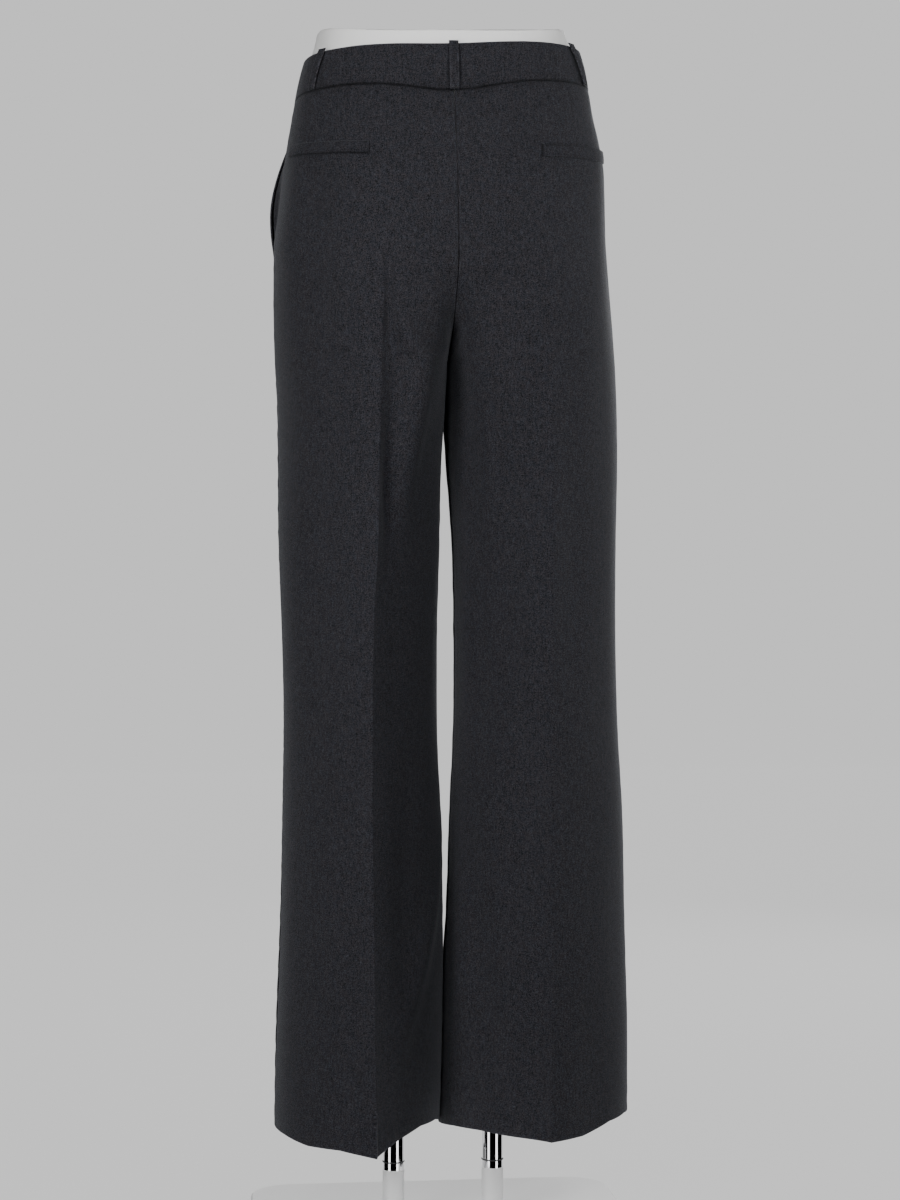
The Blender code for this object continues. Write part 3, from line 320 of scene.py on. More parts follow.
def in_rows(at, run, values):
    """Linear interpolation in every row at once.  The rows are laid end to end,
    row r shifted by r times more than any length, so one call serves all."""
    shift = np.arange(len(run))[:, None] * (2.0 * np.abs(run).max() + 1.0)
    return np.interp((at + shift).ravel(), (run + shift).ravel(), values.ravel()).reshape(at.shape)


def place(side, face, height, along, out):
    """Points at lengths `along` the outlines, moved outwards:
    p = (x, y)(along) + out * n, with n at right angles to the outline."""
    x, y = outline(side, face, height)
    run = lengths(x, y)
    dx, dy = np.gradient(x, axis=1), np.gradient(y, axis=1)
    size = np.hypot(dx, dy)
    nx = in_rows(along, run, side * face * dy / size)
    ny = in_rows(along, run, -side * face * dx / size)
    px = in_rows(along, run, x) + out * nx
    py = in_rows(along, run, y) + out * ny
    return np.stack([px, py, np.broadcast_to(np.asarray(height, float)[:, None], along.shape)], axis=-1)


def waist_dip(x, y, back, front):
    """How much lower an edge hangs: -back * exp(-(x / w)^2) behind, -front
    times an S curve that runs forwards from behind the side seam, and a tilt."""
    sag = bell(x, BACK_DIP_WIDTH) * (y > 0)
    return -back * sag - front * ease((FRONT_DIP_FROM - y) / FRONT_DIP_RUN) - WAIST_TILT * x


def band_dip(points, share):
    """Lower points on the band, in place: share is 0 at its seam, 1 at its top."""
    dips = [SEAM_DIP[k] + (TOP_DIP[k] - SEAM_DIP[k]) * share for k in ("back", "front")]
    points[..., 2] += waist_dip(points[..., 0], points[..., 1], *dips)


def seam_dip(grid, heights):
    """Lower the top rows under the waist seam, in place."""
    fade = ease(1.0 - (WAIST_SEAM - heights) / DIP_FADE)[:, None]
    grid[..., 2] += fade * waist_dip(grid[..., 0], grid[..., 1], SEAM_DIP["back"], SEAM_DIP["front"])


def ripple(z, seed, waves, longest):
    """An uneven wave over z, between about -1 and 1: a few sines whose lengths
    and phases come from a seeded generator."""
    draw = np.random.default_rng(seed)
    total = np.zeros_like(z)
    for number in range(waves):
        length = longest * draw.uniform(0.45, 1.0) / (1 + 0.6 * number)
        total = total + np.sin(2 * pi * (z / length + draw.uniform())) / (1 + 0.5 * number)
    return total / (0.7 * waves)


def rounded(distance, radius):
    """Share of the full thickness at a distance from a rounded edge:
    sqrt(1 - (1 - d / r)^2), and 1 beyond the radius."""
    inside = np.clip(distance / radius, 0.0, 1.0)
    return np.sqrt(np.maximum(1.0 - (1.0 - inside) ** 2, 0.0))


test_x, test_y = outline(1, 1, np.array([HEM, 0.5, 1.0]))
print("half outlines at hem, knee and hip:", np.round(lengths(test_x, test_y)[:, -1], 3))

# %% [markdown]
# ## Walls of cloth
# Every cloth piece is one closed wall: a middle surface (a grid of points), a
# half thickness at each point, and unit normals from the grid itself.  The UV
# map holds metres, measured along the cloth from the crease and up the piece,
# so the weave keeps its true size and its grain follows the fabric.
# %% Walls of cloth
def grid_faces(rows, columns, start=0):
    """Quads of a grid of rows x columns points, numbered from `start`."""
    number = np.arange(rows * columns).reshape(rows, columns) + start
    corners = (number[:-1, :-1], number[:-1, 1:], number[1:, 1:], number[1:, :-1])
    return np.stack(corners, axis=-1).reshape(-1, 4)


def tube_faces(rows, columns, ring=False):
    """Quads of a grid whose last column meets its first, and its last row too
    where it is a ring."""
    number = np.arange(rows * columns).reshape(rows, columns)
    after = np.roll(number, -1, axis=1)
    corners = np.stack([number, after, np.roll(after, -1, axis=0), np.roll(number, -1, axis=0)], axis=-1)
    return (corners if ring else corners[:-1]).reshape(-1, 4)


def put(name, data):
    """An object at the origin of the scene."""
    made = bpy.data.objects.new(name, data)
    bpy.context.scene.collection.objects.link(made)
    return made


def add_piece(name, points, faces, material, slot, uv=None, edges=None, sharp=50.0, caps=()):
    """A mesh from arrays, turned to face outwards by its signed volume,
    V = sum of a . (b x c + c x d) / 6.  Caps are closing polygons.  The second
    map holds metres to the nearest seam and to the nearest free edge."""
    a, b, c, d = (points[faces[:, k]] for k in range(4))
    volume = np.sum(a * (np.cross(b, c) + np.cross(c, d)))
    way = 1 if volume > 0 else -1
    mesh = bpy.data.meshes.new(name)
    mesh.from_pydata(points.tolist(), [], faces[:, ::way].tolist() + [list(cap)[::way] for cap in caps])
    faces = faces[:, ::way]
    # the edges map: distance to a seam sets the painted seam shade in the wool, distance to a free edge its
    # worn nap
    for title, values in (("cloth", uv), ("edges", edges)):
        if values is not None:
            layer = mesh.uv_layers.new(name=title)
            layer.data.foreach_set("uv", values[faces.ravel()].ravel())
    mesh.validate()
    mesh.shade_smooth()
    mesh.set_sharp_from_angle(angle=radians(sharp))
    mesh.materials.append(material)
    piece = put(name, mesh)
    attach(piece, "root")
    return piece


def grid_normals(grid, outward, side_seam=False, seam_rows=None):
    """Unit normals, n = dP/dcolumn x dP/drow, on the side `outward` (1 or -1).
    Where two panels meet they run straight sideways, as in the solids."""
    normal = np.cross(np.gradient(grid, axis=1), np.gradient(grid, axis=0))
    if side_seam:
        normal[:, 0, 1] = 0.0
    if seam_rows is not None:
        normal[seam_rows, -1, 1] = 0.0
    return outward * unit(normal)


def cloth_uv(grid, column_of_zero=0):
    """Metres along the cloth in each row, from one column, and height."""
    run = lengths(*np.moveaxis(grid, -1, 0))
    return np.stack([run - run[:, column_of_zero, None], grid[..., 2]], axis=-1)


CLOTHS = {}
BACKINGS = {}


def cut_size(grid):
    """Width, length and area of the cloth before it was sewn: the longest row,
    the longest column, and half the sum of |d1 x d2| over the quads."""
    rows = np.linalg.norm(np.diff(grid, axis=1), axis=2).sum(axis=1)
    columns = np.linalg.norm(np.diff(grid, axis=0), axis=2).sum(axis=0)
    d1, d2 = grid[1:, 1:] - grid[:-1, :-1], grid[1:, :-1] - grid[:-1, 1:]
    return rows.max(), columns.max(), np.linalg.norm(np.cross(d1, d2), axis=2).sum() / 2


def wall(name, middle, normal, half, uv, inner_half=None, seam=1.0, free=1.0, backs=None):
    """A closed wall: middle + half * n outside, middle - half * n inside, and
    a strip of quads round the rim.  `backs` names the cloth that it lies behind."""
    rows, columns = middle.shape[:2]
    # `seam` sets where the wool gets painted seam shade, `free` where its nap is worn
    edges = np.stack([seam + 0 * uv[..., 0], free + 0 * uv[..., 0]], axis=-1)
    inner_half = half if inner_half is None else inner_half
    outside = middle + normal * half[..., None]
    inside = middle - normal * inner_half[..., None]
    total = rows * columns
    number = np.arange(total).reshape(rows, columns)
    rim = np.concatenate([number[0, :-1], number[:-1, -1], number[-1, :0:-1], number[:0:-1, 0]])
    after = np.roll(rim, -1)
    faces = np.concatenate([
        grid_faces(rows, columns),
        grid_faces(rows, columns, total)[:, ::-1],
        np.stack([rim, rim + total, after + total, after], axis=-1),
    ])
    points = np.concatenate([outside.reshape(-1, 3), inside.reshape(-1, 3)])
    maps = [np.tile(values.reshape(-1, 2), (2, 1)) for values in (uv, edges)]
    piece = add_piece(name + "_cloth", points, faces, WOOL, "suiting_wool", *maps)
    if backs is None:
        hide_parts(name)
        CLOTHS[name] = (piece, cut_size(middle))
    else:
        BACKINGS[backs] = piece
    return piece


def between(grid, rows, columns):
    """Values of a grid at fractional rows and columns, by bilinear mixing."""
    row = np.clip(np.floor(rows).astype(int), 0, grid.shape[0] - 2)
    col = np.clip(np.floor(columns).astype(int), 0, grid.shape[1] - 2)
    down, over = (rows - row)[..., None], (columns - col)[..., None]
    upper = (1 - over) * grid[row, col] + over * grid[row, col + 1]
    lower = (1 - over) * grid[row + 1, col] + over * grid[row + 1, col + 1]
    return (1 - down) * upper + down * lower


def crowded(start, end, count, first, last=None):
    """Values from start to end, evenly spaced but with extra ones close to the
    ends: first and last are the distances of those, from each end."""
    even = np.linspace(start, end, count)
    way = np.sign(end - start)
    head = start + way * np.asarray(first)
    tail = end - way * np.asarray(first if last is None else last)[::-1]
    inner = even[(way * even > way * head[-1] + 1e-9) & (way * even < way * tail[0] - 1e-9)]
    return np.concatenate([head, inner, tail])


NEAR = (0.0, 0.0004, 0.0009, 0.0016, 0.0026, 0.0045)      # metres from an edge
NEAR_SPOT = (0.0, 0.004, 0.009, 0.016, 0.026, 0.045)      # the same as places
NEAR_STRIP = (0.0, 0.02, 0.05, 0.1)                       # shares of a strip's width
print("extra lines of points at each edge:", len(NEAR))

# %% [markdown]
# ## Materials: arithmetic on sockets
# A procedural material is a formula.  `Value` wraps a socket so that formulas
# are written as Python expressions, and `Look` makes every other node through
# one method.  A number that is the same all over is set on the shader itself.
# %% Materials: arithmetic on sockets
class Value:
    """A socket that can be added, subtracted, multiplied, divided and raised."""

    def __init__(self, look, socket):
        self.look = look
        self.socket = socket

    def math(self, operation, *others, first=None, clamp=False):
        """A Math node; `first` goes before this value (for 1 - v)."""
        terms = ([] if first is None else [first]) + [self] + list(others)
        return self.look.node("ShaderNodeMath", {"operation": operation, "use_clamp": clamp},
                              dict(enumerate(terms)))

    def __add__(self, other):
        return self.math("ADD", other)

    def __sub__(self, other):
        return self.math("SUBTRACT", other)

    def __rsub__(self, other):
        return self.math("SUBTRACT", first=other)

    def __mul__(self, other):
        return self.math("MULTIPLY", other)

    def __truediv__(self, other):
        return self.math("DIVIDE", other)

    def __pow__(self, other):
        return self.math("POWER", other)

    __radd__ = __add__
    __rmul__ = __mul__

    def gauss(self, width):
        """A soft line where this value is zero: exp(-(v / width)^2)."""
        return self.look.node("ShaderNodeMath", {"operation": "POWER"},
                              {0: 2.718281828, 1: (self / width) ** 2 * -1.0})

    def step(self, low, high):
        """A soft step from 0 at `low` to 1 at `high`."""
        return self.look.node("ShaderNodeMapRange", {"interpolation_type": "SMOOTHSTEP"},
                              {"Value": self, "From Min": low, "From Max": high})


class Look:
    """A material under construction."""

    def __init__(self, name, **constants):
        self.material = bpy.data.materials.new(name)
        self.material.use_nodes = True
        self.tree = self.material.node_tree
        self.shader = self.tree.nodes["Principled BSDF"]
        for socket, value in constants.items():
            self.shader.inputs[socket.replace("_", " ")].default_value = value

    def node(self, kind, settings=None, inputs=None, output=0):
        """Any node: its settings, then its inputs by name or number."""
        made = self.tree.nodes.new(kind)
        for key, value in (settings or {}).items():
            setattr(made, key, value)
        for key, value in (inputs or {}).items():
            if isinstance(value, Value):
                self.tree.links.new(value.socket, made.inputs[key])
            else:
                made.inputs[key].default_value = value
        return Value(self, made.outputs[output])

    def uv(self, title):
        """The two values of one of the cloth's maps, in metres."""
        return self.split(self.node("ShaderNodeUVMap", {"uv_map": title}))

    def split(self, vector):
        made = self.node("ShaderNodeSeparateXYZ", {}, {0: vector})
        return [Value(self, output) for output in made.socket.node.outputs]

    def place(self):
        """The point in metres, the same as object coordinates."""
        return self.node("ShaderNodeTexCoord", output=3)

    def noise(self, x, y, z=0.0, detail=2.0, rough=0.5):
        """Noise about 0: its place is already divided by the size of a grain."""
        spot = self.node("ShaderNodeCombineXYZ", {}, {0: x, 1: y, 2: z})
        return self.node("ShaderNodeTexNoise", {"noise_dimensions": "3D"}, {
            "Vector": spot, "Scale": 1.0, "Detail": detail, "Roughness": rough}) - 0.5

    def noise_at(self, size, detail=2.0, rough=0.5):
        """Noise about 0 in space, with grains of `size` metres."""
        x, y, z = self.split(self.place())
        return self.noise(x / size, y / size, z / size, detail, rough)

    def mix(self, share, first, second):
        """Colours mixed by a share; each is a tuple or a value."""
        settings = {"data_type": "RGBA", "clamp_factor": True}
        return self.node("ShaderNodeMix", settings, {0: share, 6: first, 7: second}, output=2)

    def scale(self, colour, factor):
        """A colour (three numbers or a value) times a number."""
        return self.node("ShaderNodeVectorMath", {"operation": "SCALE"}, {0: colour, "Scale": factor})

    def feed(self, socket, value):
        self.tree.links.new(value.socket, self.shader.inputs[socket])

    def finish(self, colour, rough, height, distance, strength=1.0):
        """Feed the shader and give the material: colour, roughness (None where it
        is a constant) and relief, a height of 1 standing `distance` metres proud."""
        self.feed("Base Color", colour)
        if rough is not None:
            self.feed("Roughness", rough)
        self.feed("Normal", self.node("ShaderNodeBump", {}, {
            "Strength": strength, "Distance": distance, "Height": height}))
        return self.material


# %% [markdown]
# ## Suiting wool
# Fine plain-weave wool yarn-dyed in near-black, grey and a little blue.  Three
# things are seen: single pale and dark fibres (a salt-and-pepper grain), yarns
# that are lighter or darker for a few millimetres, upright in the warp and
# level in the weft, and very faint clouds.  The weave is a bump with its own
# true pitch: |sin| ridges for both yarns, chosen by the sign of their product.
# The nap gives a sheen, which is the same all over, so it is set on the shader.
# In the furrow of a seam the colour is darkened, exp(-(d / w)^2) over two widths:
# that is painted shade for the shadow that falls into a seam.  Along folded
# edges the nap is worn and a little paler and smoother.
# %% Suiting wool
YARN = 0.00050         # pitch of the weave


def wool():
    look = Look("suiting_wool", Sheen_Weight=0.22, Sheen_Roughness=0.45,
                Sheen_Tint=(0.80, 0.83, 0.90, 1.0), Specular_IOR_Level=0.18)
    x, y = look.uv("cloth")[:2]
    seam, free = look.uv("edges")[:2]
    warp = (x * (pi / YARN)).math("SINE")
    weft = (y * (pi / YARN)).math("SINE")
    over = (warp * weft).math("GREATER_THAN", 0.0)
    ridges = look.node("ShaderNodeMix", {"data_type": "FLOAT"}, {
        0: over, 2: weft.math("ABSOLUTE"), 3: warp.math("ABSOLUTE")})
    upright = look.noise(x / 0.0012, y / 0.0070, 3.7, 2.0, 0.6)
    level = look.noise(x / 0.0060, y / 0.0012, 8.1, 2.0, 0.6)
    grain = look.noise(x / 0.00085, y / 0.00085, 1.3, 1.0, 0.6)
    fibre = look.noise(x / 0.00045, y / 0.00045, 4.4, 1.0, 0.6)
    cloud = look.noise(x / 0.050, y / 0.090, 5.0, 3.0, 0.55)
    hue = look.noise(x / 0.0030, y / 0.0034, 6.6, 1.0, 0.5)
    light = 1.0 + upright * 1.45 + level * 0.95 + grain * 3.40 + fibre * 3.60 + cloud * 0.16
    # painted shade: the colour darkens near a seam, where shadow falls
    painted_seam_shade = seam.gauss(0.0012) * 0.50 + seam.gauss(0.0060) * 0.12
    worn = free.gauss(0.0014) * (0.9 + grain)
    base = look.mix((hue * 3.0 + 0.5).math("ADD", 0.0, clamp=True),
                    (0.0300, 0.0313, 0.0392, 1.0), (0.0348, 0.0324, 0.0374, 1.0))
    fuzz = look.noise(x / 0.0004, y / 0.0030, 2.2, 1.0, 0.5)
    return look.finish(look.scale(base, light.math("MAXIMUM", 0.15) * (1.0 - painted_seam_shade + worn * 0.35)),
                       0.92 - worn * 0.14, ridges * 0.7 + fuzz * 0.5 + grain * 0.4, 0.00012, 0.55)


WOOL = wool()
print("wool:", len(WOOL.node_tree.nodes), "nodes")

# %% [markdown]
# ## Thread, horn, white form, chrome, painted steel
# Each is a short formula on the same pattern: a base colour that varies, a
# roughness that varies, and a relief at true size.
# %% Hard and small finishes
def thread():
    look = Look("thread_charcoal", Roughness=0.6, Sheen_Weight=0.2)
    twist = look.noise_at(0.0005, 2.0)
    return look.finish(look.scale((0.023, 0.024, 0.0275), 1.0 + twist * 1.2), None, twist, 0.00008)


def horn():
    look = Look("button_horn", IOR=1.54, Coat_Weight=0.3, Coat_Roughness=0.12)
    x, _, z = look.split(look.place())
    cloud = look.noise(x / 0.0030, z / 0.0016, 0.7, 3.0, 0.6)
    streak = look.noise((x + z * 0.4) / 0.0006, z / 0.0060, 2.0, 2.0, 0.6)
    share = (cloud * 2.4 + streak * 1.2 + 0.45).step(0.2, 1.0)
    colour = look.mix(share, (0.010, 0.008, 0.007, 1), (0.060, 0.042, 0.030, 1))
    return look.finish(colour, 0.30 + streak * 0.25, streak, 0.00004)


def white_form():
    look = Look("form_satin_white", IOR=1.46)
    peel = look.noise_at(0.0016, 2.0)
    cloud = look.noise_at(0.080, 3.0, 0.6)
    rub = look.noise_at(0.012, 4.0, 0.7).step(0.10, 0.30)
    clean = look.scale((0.80, 0.80, 0.79), 1.0 + cloud * 0.04)
    colour = look.mix(rub * 0.35, clean, (0.70, 0.69, 0.67, 1))
    return look.finish(colour, 0.42 + rub * 0.16 + cloud * 0.08, peel, 0.00005)


def chrome():
    look = Look("chrome_tube", Metallic=1.0)
    x, y, z = look.split(look.place())
    wipe = look.noise(x / 0.0010, y / 0.0010, z / 0.060, 2.0, 0.6)
    smear = look.noise_at(0.018, 3.0, 0.65)
    rough = (0.05 + smear.math("ABSOLUTE") * 0.10 + wipe * 0.03).math("MAXIMUM", 0.03)
    return look.finish(look.scale((0.78, 0.78, 0.80), 1.0 + smear * 0.10), rough, wipe, 0.000006)


def painted():
    look = Look("base_powder_coat", IOR=1.50)
    peel = look.noise_at(0.0009, 2.0, 0.6)
    scuff = look.noise_at(0.0300, 5.0, 0.7).step(0.12, 0.30)
    colour = look.mix(scuff * 0.4, (0.80, 0.80, 0.80, 1), (0.66, 0.65, 0.64, 1))
    return look.finish(colour, 0.46 + peel * 0.20 + scuff * 0.12, peel, 0.00006)


def rubber():
    look = Look("collar_rubber", IOR=1.50)
    dust = look.noise_at(0.0011, 3.0, 0.6)
    return look.finish(look.scale((0.022, 0.022, 0.023), 1.0 + dust * 0.9), 0.55 + dust * 0.30, dust, 0.00005)


THREAD_LOOK, WHITE, RUBBER = thread(), white_form(), rubber()
POLES = ("pole_left", "pole_right")
BASE = ("pole_socket_left", "pole_socket_right", "base_plate")
for NODES, FINISH in ((("waist_button",), horn()), (POLES, chrome()), (BASE, painted())):
    for NODE in NODES:
        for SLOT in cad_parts[NODE].material_slots:
            SLOT.material = FINISH
print("hard nodes finished")

# %% [markdown]
# ## Panels
# Four panels make the legs and the seat.  Their points come from the outlines,
# moved by the soft folds, by a slow unevenness that hanging wool always has,
# by puckers along the side seams, and by the way each edge rolls into its seam.
# Rows crowd at the waist seam, the curved rise and the hem.
# %% Heights, folds and hem of a panel
def panel_heights():
    hip = crowded(WAIST_SEAM - GAP, RISE_TOP[1], 44, NEAR, (0.0,))
    turns = np.linspace(pi / 2, 0.0, 38)[1:]
    rise = CROTCH + (RISE_TOP[1] - CROTCH) * (1.0 - np.cos(turns))
    leg = crowded(CROTCH, HEM, 165, (0.0,), NEAR)[1:]
    turned = HEM + HEM_TURN + np.array([-0.0005, 0.0005])
    welts = np.linspace(WELT_TOP + 0.010, WELT_TOP - 0.016, 22)
    return -np.unique(-np.round(np.concatenate([hip, rise, leg, turned, welts]), 6))


HEIGHTS = panel_heights()
WAVY = 0.0007          # height of the slow unevenness


def unevenness(spot, z, seed):
    """A slow waviness: a sum of seven plane waves, sin 2pi(a s + b z + c)."""
    draw = np.random.default_rng(seed)
    total = np.zeros_like(spot + z)
    for _ in range(7):
        across, down = draw.uniform(0.5, 2.4), draw.uniform(-4.0, 4.0)
        total += draw.uniform(0.3, 1.0) * np.sin(2 * pi * (across * spot + down * z + draw.uniform()))
    return total / 2.5


def folds_at(side, face, z, spot):
    """Sum over FOLDS of rise * sin^2(pi t) * exp(-(s - s0)^2 / w^2), where t runs
    down the fold and w is one width towards the side, another to the centre."""
    total = np.zeros_like(spot + z)
    for row in (dict(zip(FOLD_COLUMNS, fold)) for fold in FOLDS):
        if (row["side"], row["face"]) == (side, face):
            t = np.clip((row["top"] - z) / (row["top"] - row["bottom"]), 0.0, 1.0)
            off = spot - row["top_place"] - (row["bottom_place"] - row["top_place"]) * t
            wide = np.where(off < 0, row["to_side"], row["to_centre"]) / FOLD_SPAN
            total += row["rise"] * np.sin(pi * t) ** 2 * bell(off, wide)
    return total


def hang(side, face, grid, heights, spot):
    """Lower the top rows along the waist seam and shift the hem, in place."""
    seam_dip(grid, heights)
    row = next(dict(zip(HEM_COLUMNS, r)) for r in HEM_HANG if r[:2] == (side, face))
    lift = np.interp(spot, HEM_PLACES, [row[name] for name in HEM_COLUMNS[2:]])
    grid[..., 2] += ease(1.0 - (heights - HEM) / HEM_HANG_FADE)[:, None] * lift


PUCKER_SIDE = (0.00055, 4, 0.050, 0.016)       # height, waves, longest wave, reach
PUCKER_CENTRE = (0.00040, 3, 0.060, 0.014)     # the same at the centre seam
PUCKER_FROM = 0.004                            # a pucker starts this far from the edge
TURNING_HIGH = 0.00022                         # the seam's turnings show as a ridge
TURNING_WIDE = 0.011
TURNING_SOFT = 0.003
TUCK = 0.6                                     # how far the waist seam pulls in, in rolls
TUCK_REACH = 0.005
THIN = 0.35                                    # least share of the thickness at an edge
MOUTH_FADE = 0.01                              # height over which the pocket mouth ends


def seam_shape(side, face, heights, along, total, start):
    """What the seams do to the cloth: it rolls in at its edges and puckers."""
    z = heights[:, None]
    top = (WAIST_SEAM - GAP - z) + 0 * along
    edge = np.minimum(along - start, total - along)
    roll = (1 - rounded(edge, ROLL)) + (1 - rounded(top, ROLL)) + TUCK * bell(top, TUCK_REACH)
    pucker, ridge = 0.0, 0.0
    for distance, seed, (high, waves, longest, reach) in (
            (along - start, 31 + side + 3 * face, PUCKER_SIDE), (total - along, 57 + side, PUCKER_CENTRE)):
        pucker = pucker + high * ripple(z, seed, waves, longest) * bell(distance, reach)
        ridge = ridge + TURNING_HIGH * bell(distance - TURNING_WIDE, TURNING_SOFT)
    return pucker * ease(edge / PUCKER_FROM) + ridge, ROLL * np.minimum(roll, 1.5)


def halves(along, total, start, heights):
    """Half thicknesses outside and inside: thin at rolled edges, double in the
    turned-up hem, and rounded where the hem folds."""
    z = heights[:, None] + 0 * along
    edge = np.minimum(np.minimum(along - start, total - along), WAIST_SEAM - GAP - z)
    full = np.maximum(rounded(np.maximum(edge, 0.0), CLOTH / 2), THIN)
    fold = np.maximum(rounded(z - HEM, CLOTH), 0.12)
    turned = np.where(z <= HEM + HEM_TURN, 1.5, 0.5)
    return CLOTH / 2 * full * fold, CLOTH * turned * full * fold


PANELS = {}


def finish_panel(side, face, name, spot, along, total, start, out, zero):
    """Normals first, from the smooth grid, then the rolled edges along them."""
    heights = HEIGHTS
    z = heights[:, None]
    shift, pushed = seam_shape(side, face, heights, along, total, start)
    sewn = 1 - ease((z - POCKET_END) / MOUTH_FADE) if face < 0 else 1.0
    out = out + folds_at(side, face, z, spot) + shift * sewn - CLOTH / 2
    grid = place(side, face, heights, along, out)
    hang(side, face, grid, heights, spot)
    normal = grid_normals(grid, -side * face, True, heights <= CROTCH + 1e-6)
    middle = grid - normal * pushed[..., None]
    outer, inner = halves(along, total, start, heights)
    in_mouth = (face < 0) & (z > POCKET_END)
    # distance to the side, centre and waist seams: the wool is painted darker there, as shade
    seam = np.minimum(np.where(in_mouth, 1.0, along - start + CLOTH), WAIST_SEAM - GAP - z)
    free = np.minimum(np.where(in_mouth, along - start, 1.0), z - HEM)
    PANELS[side, face] = {"middle": middle, "normal": normal, "along": along}
    return wall(name, middle, normal, outer, cloth_uv(grid, zero), inner, seam, free)


print("rows of a panel:", len(HEIGHTS))

# %% [markdown]
# ## Back panels
# The crease is one column of the grid, so its edge stays sharp.
# %% Back panels
SIDES = ((1, "left"), (-1, "right"))


def back_panel(side, name):
    outer = crowded(0.0, 1.0, 54, NEAR_SPOT, (0.0, 0.006, 0.014))
    inner = crowded(1.0, 2.0, 54, (0.0, 0.006, 0.014), NEAR_SPOT)[1:]
    spot = np.tile(np.concatenate([outer, inner]), (len(HEIGHTS), 1))
    run = lengths(*outline(side, 1, HEIGHTS))
    crease, total = run[:, ARC_STEPS, None], run[:, -1, None]
    along = np.where(spot < 1.0, spot * crease, crease + (spot - 1.0) * (total - crease))
    along = np.clip(along, GAP / 2, total - GAP / 2)
    z = HEIGHTS[:, None]
    out = WAVY * unevenness(spot, z, 5 + side) * ease((WAIST_SEAM - z) / 0.1)
    return finish_panel(side, 1, "back_" + name, spot, along, total, 0.0, out, len(outer) - 1)


for SIDE, NAME in SIDES:
    PIECE = back_panel(SIDE, NAME)
    print(PIECE.name, len(PIECE.data.polygons), "faces")

# %% [markdown]
# ## Front panels
# Each has two knife pleats that open out below the hip, and its edge stands
# away from the facing at the slanted pocket mouth.  A pleat's section is two
# arcs of one bend radius with a straight under layer between them: the cloth
# turns back by an angle that falls from 180 degrees at the waist to nothing.
# %% Front panels
def pleat_profile(pleat, heights):
    """Lengths from the fold's middle towards the centre, and heights above the
    under layer: x = r sin a, y = r (1 - cos a), then the same mirrored."""
    row = dict(zip(PLEAT_COLUMNS, pleat))
    shut = ease((heights - row["end"]) / (row["shut_to"] - row["end"]))
    turn = np.maximum(pi * shut, 0.02)[:, None]
    full = ease((heights - row["shut_to"] + 0.03) / (WAIST_SEAM - row["shut_to"]))
    depth = (row["depth"] * full)[:, None]
    spread = 1.0 - shut + ease((row["end"] - heights) / PLEAT_FADE)
    bend = np.maximum(PLEAT_BEND, (pi * PLEAT_BEND + PLEAT_OPEN_STEP * spread[:, None] / 2) / turn)
    bend = np.where(shut[:, None] > 0.98, PLEAT_BEND, bend)
    first = turn * np.linspace(0.0, 1.0, 9)[None, :]
    second = turn * np.linspace(1.0, 0.0, 9)[None, :]
    along_1, up_1 = bend * np.sin(first), bend * (1 - np.cos(first))
    start_x = along_1[:, -1:] + depth * np.cos(turn)
    start_y = up_1[:, -1:] + depth * np.sin(turn)
    along_2 = start_x + bend * (np.sin(turn) - np.sin(second))
    up_2 = start_y + bend * (np.cos(second) - np.cos(turn))
    start, stop = -np.full_like(turn, PLEAT_MARGIN), along_2[:, -1:] + PLEAT_MARGIN
    along = np.hstack([start, along_1, along_2, stop])
    up = np.hstack([np.zeros_like(turn), up_1, up_2, up_2[:, -1:]])
    return along - along_2[:, 4:5], up


def mouth_open(heights):
    """sin^2(pi t^1.4): shut at both ends of the mouth, widest low down."""
    share = np.clip((WAIST_SEAM - heights) / (WAIST_SEAM - POCKET_END), 0.0, 1.0)
    return np.sin(pi * share ** 1.4) ** 2


def stretch(left, right, count, first=(0.0,), last=(0.0,)):
    """Columns between two lengths in each row, crowded at the given places."""
    share = crowded(0.0, 1.0, count, first, last)
    return left + (right - left) * share[None, :]


def front_panel(side, name):
    heights = HEIGHTS
    run = lengths(*outline(side, -1, heights))
    crease, total = run[:, ARC_STEPS, None], run[:, -1, None]
    mouth = POCKET_SLANT * np.clip((heights - POCKET_END) / (WAIST_SEAM - POCKET_END), 0, 1)[:, None]
    main, main_up = pleat_profile(PLEATS[0], heights)
    second, second_up = pleat_profile(PLEATS[1], heights)
    main = main + crease
    second = second + crease * PLEATS[1][0] + mouth * (1 - PLEATS[1][0])
    edge = np.maximum(mouth, GAP / 2)
    centre = total - GAP / 2
    near = tuple(4 * s for s in NEAR_SPOT[:-1])
    side_run = stretch(edge, second[:, :1], 20, near)[:, :-1]
    between_run = stretch(second[:, -1:], main[:, :1], 14)[:, 1:-1]
    centre_run = stretch(main[:, -1:], centre, 38, (0.0,), NEAR_SPOT)[:, 1:]
    along = np.hstack([side_run, second, between_run, main, centre_run])

    raised, beyond = second_up[:, -1:], second[:, -1:]
    passed_on = raised * bell(main[:, :1] - beyond, PLEAT_SPREAD)
    up = np.hstack([
        np.zeros_like(side_run),
        second_up,
        raised * bell(between_run - beyond, PLEAT_SPREAD),
        main_up + passed_on * (1 - main_up / (main_up.max() + 1e-9)),
        main_up[:, -1:] * bell(centre_run - main[:, -1:], PLEAT_SPREAD),
    ])
    z = heights[:, None]
    sink = PLEAT_SINK * ease((z - PLEATS[0][3]) / (WAIST_SEAM - PLEATS[0][3]))
    spot = np.where(along < crease, along / crease, 1 + (along - crease) / (total - crease))
    gape = GAPE[side] * mouth_open(z) * bell(along - edge, GAPE_REACH)
    out = up - sink + gape + WAVY * unevenness(spot, z, 15 + side) * ease((POCKET_END + 0.05 - z) / 0.1)
    fold = side_run.shape[1] + second.shape[1] + between_run.shape[1]
    return finish_panel(side, -1, "front_" + name, spot, along, total, edge, out, fold)


for SIDE, NAME in SIDES:
    PIECE = front_panel(SIDE, NAME)
    print(PIECE.name, len(PIECE.data.polygons), "faces")
